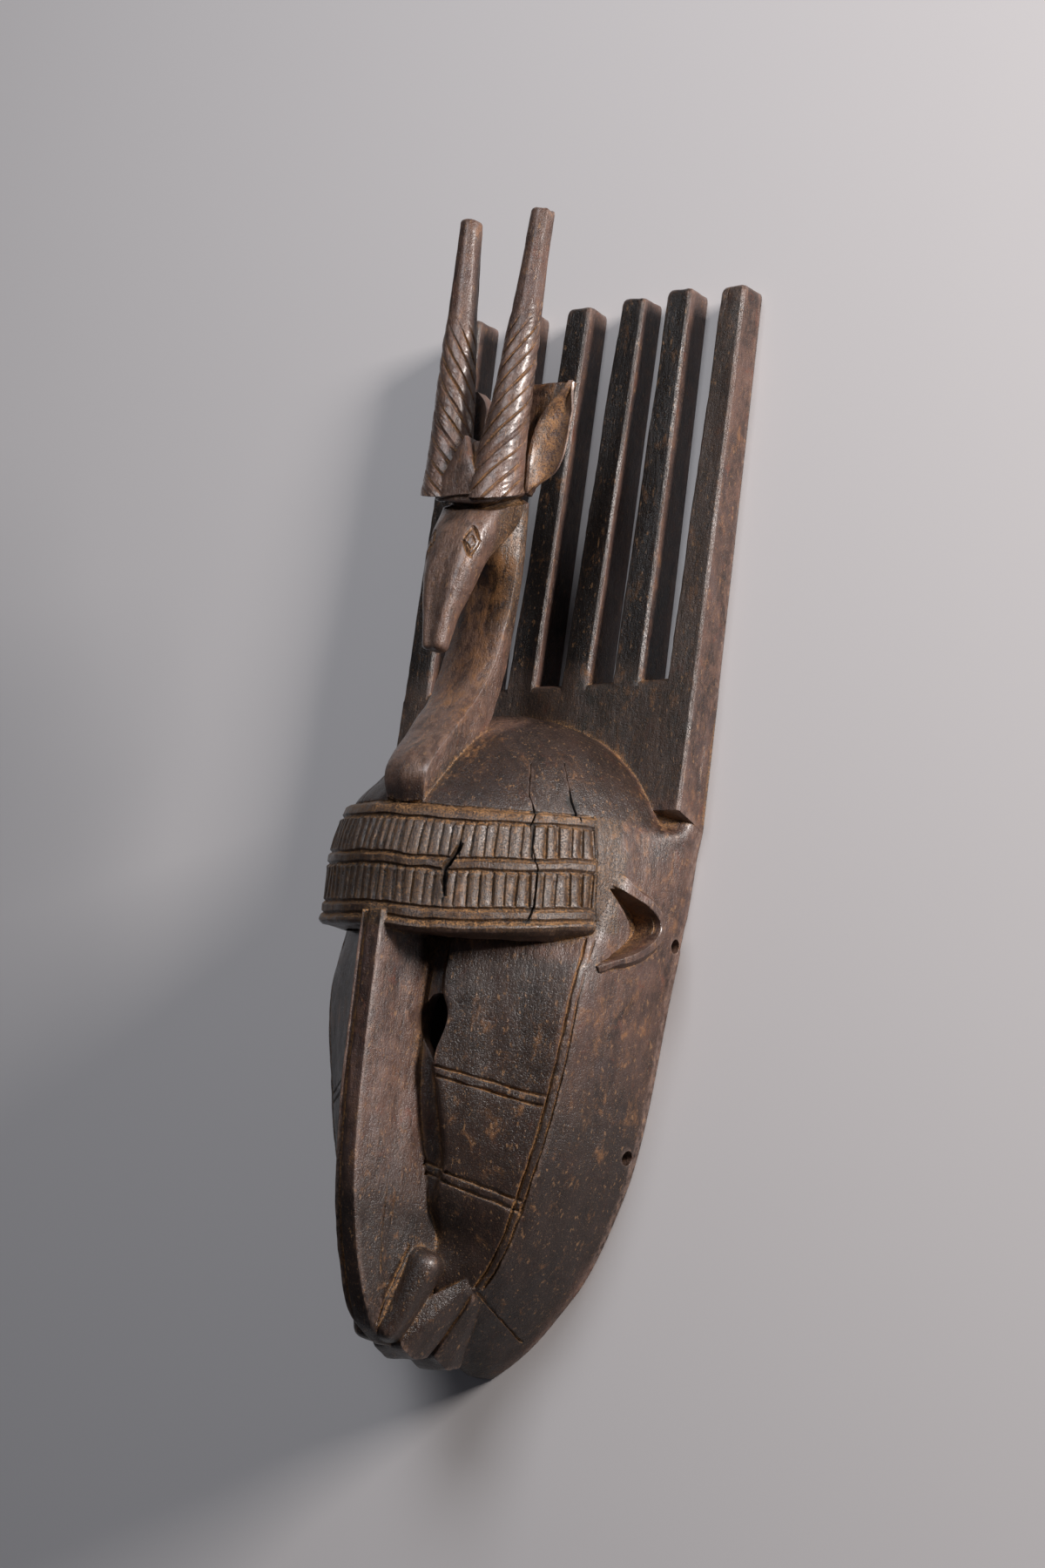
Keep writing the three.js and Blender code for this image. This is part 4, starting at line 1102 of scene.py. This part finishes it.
def mark_wear_and_painted_light(piece):
    """Where dust gathers and where hands have rubbed, from how far each point lies under or over the
    evened-out surface, with extra dust and stain in set places, painted shade where shadow falls,
    and painted light on the antelope's front faces and on arrises."""
    mesh = piece.data
    points = read(mesh.vertices, "co", 3) / MM + [0, MIDDLE, 0]
    normal = read(mesh.vertex_normals, "vector", 3)
    fine, broad = relief(points, normal, read(mesh.edges, "vertices", 2, np.int64))
    x, y, z = points.T
    side = np.abs(x)
    front = np.maximum(0, normal[:, 2])

    # The brow band, the dome and its cracks
    level = y - brow_rise(x, y)
    on_band = within(BROW_LOW - 1, BROW_LOW + 2, BROW_HIGH, BROW_HIGH + 1.5, level) * (z > 50)
    # Painted shade deep inside the cracks
    in_crack = in_cracks(points)
    above = np.maximum(0, y - DOME_LEVEL) / DOME_REACH
    crown = DOME_HIGH * np.maximum(0, 1 - above ** 2) ** 0.5

    # The antelope: its horns, what lies under its cap and beside its jaw, neck and ears
    antelope = ease(3, 8, z - crown) * (side < 50) * ease(286, 300, y) * ease(60, 70, z)
    on_horn = ease(464, 476, y) * (side < 26) * (z > 84)
    below_cap = cap_foot(x, z) - y
    # Painted shadow: a dark band just under the cap's overhang
    under_cap = within(-0.6, 0, 3, 4.6, below_cap) * (z > 62) * (side < 30)
    # Painted shade on the neck beside and under the jaw
    beside_jaw = antelope * ease(380, 400, y) * (y < 458) * (x > 6) * past(98, 106, z)
    on_neck = within(290, 306, 430, 450, y) * (side < 24) * (z > 60) * past(100, 112, z)
    across = (side - ear_level(2, y)) / (ear_level(4, y) - ear_level(2, y))
    ear_high = inside(EAR_FOOT, EAR_TIP, y)
    in_leaf = within(0.08, 0.2, 0.8, 0.93, across) * ear_high * (y > EAR_FOOT + 2)
    in_leaf = in_leaf * inside(76, 94, z) * ease(0, 0.3, normal[:, 2])
    on_rim = past(0.1, 0.2, np.abs(across - 0.16)) * ear_high * inside(80, 94, z)
    # Painted shade over the left rim of the antelope's ear
    left_rim = past(0.15, 0.3, across) * ear_high * inside(78, 96, z) * (side > 24)
    on_ear = within(EAR_FOOT, 475, EAR_TIP, 528, y) * (side > 22) * inside(72, 96, z)

    # The nose's strip and the valleys beside it
    strip = nose_keys(y)[2]
    on_strip = (z > through(RIDGE_Z, y) - 2.6) * inside(12, 214, y)
    left_arris = past(0.5, 1.1, np.abs(x + 0.95 * strip))
    right_arris = 0.6 * past(0.3, 0.9, np.abs(x - strip))
    foot = through(CHEEK_Z, y) - through(VALLEY_DEPTH, y)
    by_valley = (side < 15) * past(4, 9, z - foot) * ease(130, 160, y) * (y < 214)
    by_valley = by_valley * (normal[:, 0] * np.sign(x) > 0.6)
    # Painted shade in the valleys beside the nose
    valley = within(13, 19, 26, 31, side) * ease(70, 110, y) * past(NOSE_TOP, NOSE_TOP + 4, y)
    valley = valley * past(105, 111, z) * (z > 80)

    dust = ease(0.06, 0.28, -fine) + 0.4 * ease(0.35, 1.5, -broad)
    dust = dust * (1 - 0.4 * on_band) + 0.7 * on_band * ease(0.35, 0.6, normal[:, 1])
    dust = dust * (1 + 0.8 * on_horn) * (1 - 0.95 * in_crack)
    dust = dust + 0.3 * on_band * past(0.05, 0.3, -fine)
    dust = dust + 0.7 * in_leaf + 0.5 * by_valley + 0.3 * beside_jaw

    # Rubbed arrises, partly painted highlight: convex edges are painted lighter where highlights
    # fall, most on the nose strip's two arrises and a little on the antelope ear's rim.
    wear_and_highlight = ease(0.14, 0.42, fine) * (1 - 0.85 * on_band)
    wear_and_highlight = wear_and_highlight + 0.9 * on_strip * np.maximum(left_arris, right_arris) + 0.1 * on_rim

    # Paler rubbed wood on the antelope, partly painted light: its faces turned to the front are
    # painted lighter, as if lit.
    pale = antelope * (0.3 + 0.7 * ease(0.4, 0.9, front)) * (1 - 0.6 * ease(452, 470, y))
    pale = pale * (1 - 0.8 * beside_jaw) * (1 - 0.7 * (side > 25) * (y > 460))

    warm = on_neck * ease(0.3, 0.8, front)
    warm = warm + on_ear * ease(0.2, 0.7, np.abs(normal[:, 0]) + front)
    warm = warm + 0.2 * ease(70, 90, side) * within(90, 130, 296, 300, y)

    # Painted shadow on the inner prongs' fronts, as if cast by their neighbours
    prongs = ease(SLOT_FLOOR, 400, y) * (z < 30) * past(78, 84, x) * ease(0.5, 0.8, front)
    low_chin = past(30, 130, y) * ease(0, 14, z)
    dome_top = ease(BROW_HIGH - 4, BROW_HIGH + 2, level) * (z > 26) * past(352, 358, y)
    on_wall = ease(60, 72, side) * (y < 250) * past(60, 220, y) * past(0.5, 0.7, front)
    cheek = ease(18, 30, side) * ease(0, 12, z) * past(205, 212, y) * ease(0.35, 0.6, front)
    cheek = cheek * (2.3 + 0.4 * past(90, 190, y))
    # Painted shade: very dark colour laid where shadow falls, in the valleys beside the nose, on the
    # inner prongs' fronts, beside the jaw and on the antelope ear's left rim, and strongest under
    # the cap and inside the cracks; cheeks, chin, walls, band and dome top are made darker too.
    shaded = (0.6 * valley + 0.4 * cheek + 1.5 * low_chin + 1.55 * prongs + 1.35 * on_band
              + 0.9 * dome_top * (1 - antelope) + 1.5 * on_wall + 1.8 * beside_jaw
              + 1.2 * left_rim)
    dark = np.minimum(1, shaded) + 0.6 * prongs + 2.2 * np.maximum(under_cap, in_crack)

    # Front faces of the comb, tinted a darker grey-green
    comb_part = ease(300, 310, y) * past(27, 34, z) * ease(0.5, 0.8, front)
    for name, values in {"pale": pale, "warm": np.minimum(1, warm), "dust": np.minimum(1, dust),
                         "wear_and_highlight": np.minimum(1, wear_and_highlight), "comb": comb_part, "dark": dark}.items():
        layer = mesh.attributes.new(name, "FLOAT", "POINT")
        layer.data.foreach_set("value", np.clip(values, 0, 3).astype(np.float32))


class Value:
    """A number socket of a shader: arithmetic on it adds Math nodes."""

    def __init__(self, tree, socket):
        self.tree = tree
        self.socket = socket

    def math(self, operation, *others, clamp=False):
        node = self.tree.nodes.new("ShaderNodeMath")
        node.operation = operation
        node.use_clamp = clamp
        for slot, item in zip(node.inputs, (self, *others)):
            if isinstance(item, Value):
                self.tree.links.new(item.socket, slot)
            else:
                slot.default_value = item
        return Value(self.tree, node.outputs[0])

    def __add__(self, item):
        return self.math("ADD", item)

    def __sub__(self, item):
        return self.math("SUBTRACT", item)

    def __mul__(self, item):
        return self.math("MULTIPLY", item)

    def __truediv__(self, item):
        return self.math("DIVIDE", item)

    def __rsub__(self, item):
        return self * -1 + item

    __radd__ = __add__
    __rmul__ = __mul__

    def clamped(self):
        return self.math("ADD", 0.0, clamp=True)

    def between(self, low, high):
        """0 at low, 1 at high, clamped."""
        return ((self - low) / (high - low)).clamped()


class Finish:
    """One material and the nodes that make it."""

    def __init__(self, name):
        self.material = bpy.data.materials.new(name)
        self.material.use_nodes = True
        self.tree = self.material.node_tree
        self.shader = self.tree.nodes["Principled BSDF"]

    def node(self, kind, settings=None, **sockets):
        """Any node: its settings are set first, then values or links for its sockets."""
        made = self.tree.nodes.new(kind)
        for key, value in (settings or {}).items():
            setattr(made, key, value)
        return self.put(made, **sockets)

    def put(self, node, **sockets):
        """Values or links for a node's sockets, by name, or by number as in _0."""
        for key, value in sockets.items():
            number = key[1:]
            slot = node.inputs[int(number) if number.isdigit() else key.replace("_", " ")]
            if isinstance(value, Value):
                value = value.socket
            if isinstance(value, bpy.types.NodeSocket):
                self.tree.links.new(value, slot)
            else:
                slot.default_value = value
        return node

    def dress(self, **sockets):
        """Values or links for the shader itself."""
        self.put(self.shader, **sockets)

    def attribute(self, name):
        made = self.node("ShaderNodeAttribute", {"attribute_name": name})
        return Value(self.tree, made.outputs["Fac"])

    def pattern(self, stretch, shift, scale, detail, roughness, distortion):
        """Noise on object coordinates in metres, stretched and shifted."""
        source = self.node("ShaderNodeTexCoord").outputs["Object"]
        place = self.node("ShaderNodeMapping", None, Vector=source, Location=shift,
                          Scale=stretch).outputs["Vector"]
        made = self.node("ShaderNodeTexNoise", None, Vector=place, Scale=scale, Detail=detail,
                         Roughness=roughness, Distortion=distortion)
        return Value(self.tree, made.outputs["Fac"])

    def mix(self, factor, first, second, blend="MIX"):
        """First colour turned towards the second, an RGB tuple, by the factor."""
        settings = {"data_type": "RGBA", "blend_type": blend, "clamp_factor": True}
        made = self.node("ShaderNodeMix", settings, _0=factor, _6=first, _7=(*second, 1))
        return made.outputs[2]


def wood_finish():
    """Old dark wood: mottled stain, grain along the mask's height, ochre dust in every cut and
    sheltered corner, lighter rubbed arrises that are partly a painted highlight, patches of painted
    sheen, painted shade where shadow falls and painted light on the antelope's front faces."""
    wood = Finish("old dark wood")
    dust, wear_and_highlight, comb_part, dark, warm, pale = (
        wood.attribute(name) for name in ("dust", "wear_and_highlight", "comb", "dark", "warm", "pale"))
    grain, fibre, mottle, small, cloud, ember, honey, speck, fleck = (
        wood.pattern(*row) for row in WOOD_PATTERNS.values())
    settings = {"samples": 6, "only_local": True}
    open_air = wood.node("ShaderNodeAmbientOcclusion", settings, Distance=CORNER_REACH)
    shelter = 1 - Value(wood.tree, open_air.outputs["AO"])

    worn_and_highlight = (wear_and_highlight * fleck.between(0.35, 0.6)).clamped()
    honeyed = (honey + warm * 0.14).between(0.56, 0.7) * small.between(0.4, 0.6)
    dirt = shelter.between(0.22, 0.55) * (1 - dark * 0.6) + dust * 0.7
    dirt = (dirt * speck.between(0.4, 0.58) * (0.25 + small.between(0.35, 0.55))).clamped()

    # Each layer of colour covers what is below it by its share; some layers are painted sheen,
    # painted shade, painted light and painted highlights
    colour = (*STAIN_DARKEST, 1)
    for share, paint in [
            (mottle.between(0.38, 0.62), STAIN), (small.between(0.46, 0.66) * 0.6, STAIN_RED),
            (fibre.between(0.5, 0.7) * 0.4, FIBRE), (cloud.between(0.5, 0.66) * 0.35, PAINTED_SHEEN),
            (ember.between(0.57, 0.68) * 0.55, EMBER), (grain.between(0.44, 0.32) * 0.6, PORES),
            (comb_part * 0.55, COMB_FRONT_TINT), (dark * (0.5 + small * 0.6), SHADE_BLACK),
            (pale * (0.3 + small.between(0.4, 0.6) * 0.5), HANDLED_AND_LIT), (honeyed * 0.7, HONEY),
            (worn_and_highlight * 0.5, WORN_AND_HIGHLIGHT), (dirt * 0.9, DUST), (fleck.between(0.62, 0.69) * 0.5, FLECK),
            (speck.between(0.62, 0.7) * 0.3, SPECK)]:
        colour = wood.mix(share, colour, paint)

    rough = 0.3 + small.between(0.35, 0.65) * 0.12 + dirt * 0.4 - dark * 0.03 - pale * 0.15
    rough = rough + dark.between(1.6, 2.4) * 0.4
    coat = 0.08 + worn_and_highlight * 0.7 + pale * 0.4 - dirt * 0.6 - dark * 0.1

    # Rounded arrises under four depths of unevenness
    shown = wood.node("ShaderNodeBevel", {"samples": 4}, Radius=ARRIS_ROUND).outputs["Normal"]
    swell = 0.5 + pale * 0.5
    for height, strength, distance in [
            (small * swell, 0.7, 0.0012), (fibre * swell, 0.6, 0.0009), (grain, 0.35, 0.0005),
            (speck.between(0.25, 0.5), 0.35, 0.0005)]:
        shown = wood.node("ShaderNodeBump", None, Height=height, Strength=strength,
                          Distance=distance, Normal=shown).outputs["Normal"]

    wood.dress(Base_Color=wood.mix(1.0, colour, WARMER, "MULTIPLY"), Roughness=rough.clamped(),
               IOR=1.5, Coat_Weight=coat.clamped(), Coat_Roughness=0.22, Normal=shown)
    return wood.material


def floor():
    """Plain pale floor just under the rim."""
    corners = [[-3, -3, -0.0003], [3, -3, -0.0003], [3, 3, -0.0003], [-3, 3, -0.0003]]
    made = as_object("floor", np.array(corners), np.array([[0, 1, 2], [0, 2, 3]]))
    pale = Finish("pale floor")
    pale.dress(Base_Color=(0.66, 0.64, 0.64, 1), Roughness=0.9)
    made.data.materials.append(pale.material)


def placed(made, place, across, upright, back):
    """Lamp or camera put at a place, turned to its own three axes."""
    rows = [[*across, 0], [*upright, 0], [*back, 0], [*place, 1]]
    made.matrix_world = Matrix(rows).transposed()
    bpy.context.scene.collection.objects.link(made)


def soft_light(name, place, aim, wide, high, power, colour):
    """Rectangular soft light at a place, turned to its aim, its height along the floor's
    normal."""
    lamp = bpy.data.lights.new(name, "AREA")
    lamp.shape = "RECTANGLE"
    lamp.size = wide
    lamp.size_y = high
    lamp.energy = power
    lamp.color = colour
    back = unit(np.subtract(place, aim))
    across = unit(np.cross([0, 0, 1], back))
    placed(bpy.data.objects.new(name, lamp), place, across, np.cross(back, across), back)


def studio():
    """Soft key low from the viewer's right and a little above, a weak soft light high in
    front and a dim room."""
    soft_light("key", (2.0, 0.86, 0.42), (0, 0, 0.06), 0.75, 0.3, 84, (1.0, 0.935, 0.9))
    soft_light("fill", (0.15, 1.0, 1.6), (0, 0, 0), 0.9, 0.9, 15, (0.93, 0.95, 1.0))
    world = bpy.data.worlds.new("room")
    bpy.context.scene.world = world
    world.use_nodes = True
    sky = world.node_tree.nodes["Background"]
    sky.inputs["Color"].default_value = (0.85, 0.87, 1.0, 1)
    sky.inputs["Strength"].default_value = 0.05
    bpy.context.scene.view_settings.view_transform = "Standard"


def camera():
    """Camera at the photo's viewing angle: its back axis comes from the turn and the height,
    and it is turned until the aim shows as far from the picture's middle as in the photo."""
    back = np.array([np.sin(VIEW_AROUND) * np.cos(VIEW_UP), np.sin(VIEW_UP),
                     np.cos(VIEW_AROUND) * np.cos(VIEW_UP)])
    right = np.array([np.cos(VIEW_AROUND), 0, -np.sin(VIEW_AROUND)])
    up = np.cross(back, right)
    across = right * np.cos(VIEW_ROLL) + up * np.sin(VIEW_ROLL)
    upright = up * np.cos(VIEW_ROLL) - right * np.sin(VIEW_ROLL)
    place = VIEW_AIM + back * VIEW_DISTANCE
    back = unit(back + (across * AIM_RIGHT - upright * AIM_DOWN) / FOCAL_PIXELS)
    across = unit(across - back * (across @ back))
    made = bpy.data.objects.new("camera", bpy.data.cameras.new("camera"))
    made.data.lens = FOCAL_PIXELS * made.data.sensor_width / PICTURE_LONG
    placed(made, place, across, np.cross(back, across), back)
    bpy.context.scene.camera = made


camera()
mask = carved()
hand_finish(mask)
mark_wear_and_painted_light(mask)
mask.data.polygons.foreach_set("use_smooth", np.ones(len(mask.data.polygons), bool))
mask.data.set_sharp_from_angle(angle=np.radians(32))
mask.data.materials.clear()
mask.data.materials.append(wood_finish())
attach(mask, "root")
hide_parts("mask")
floor()
studio()
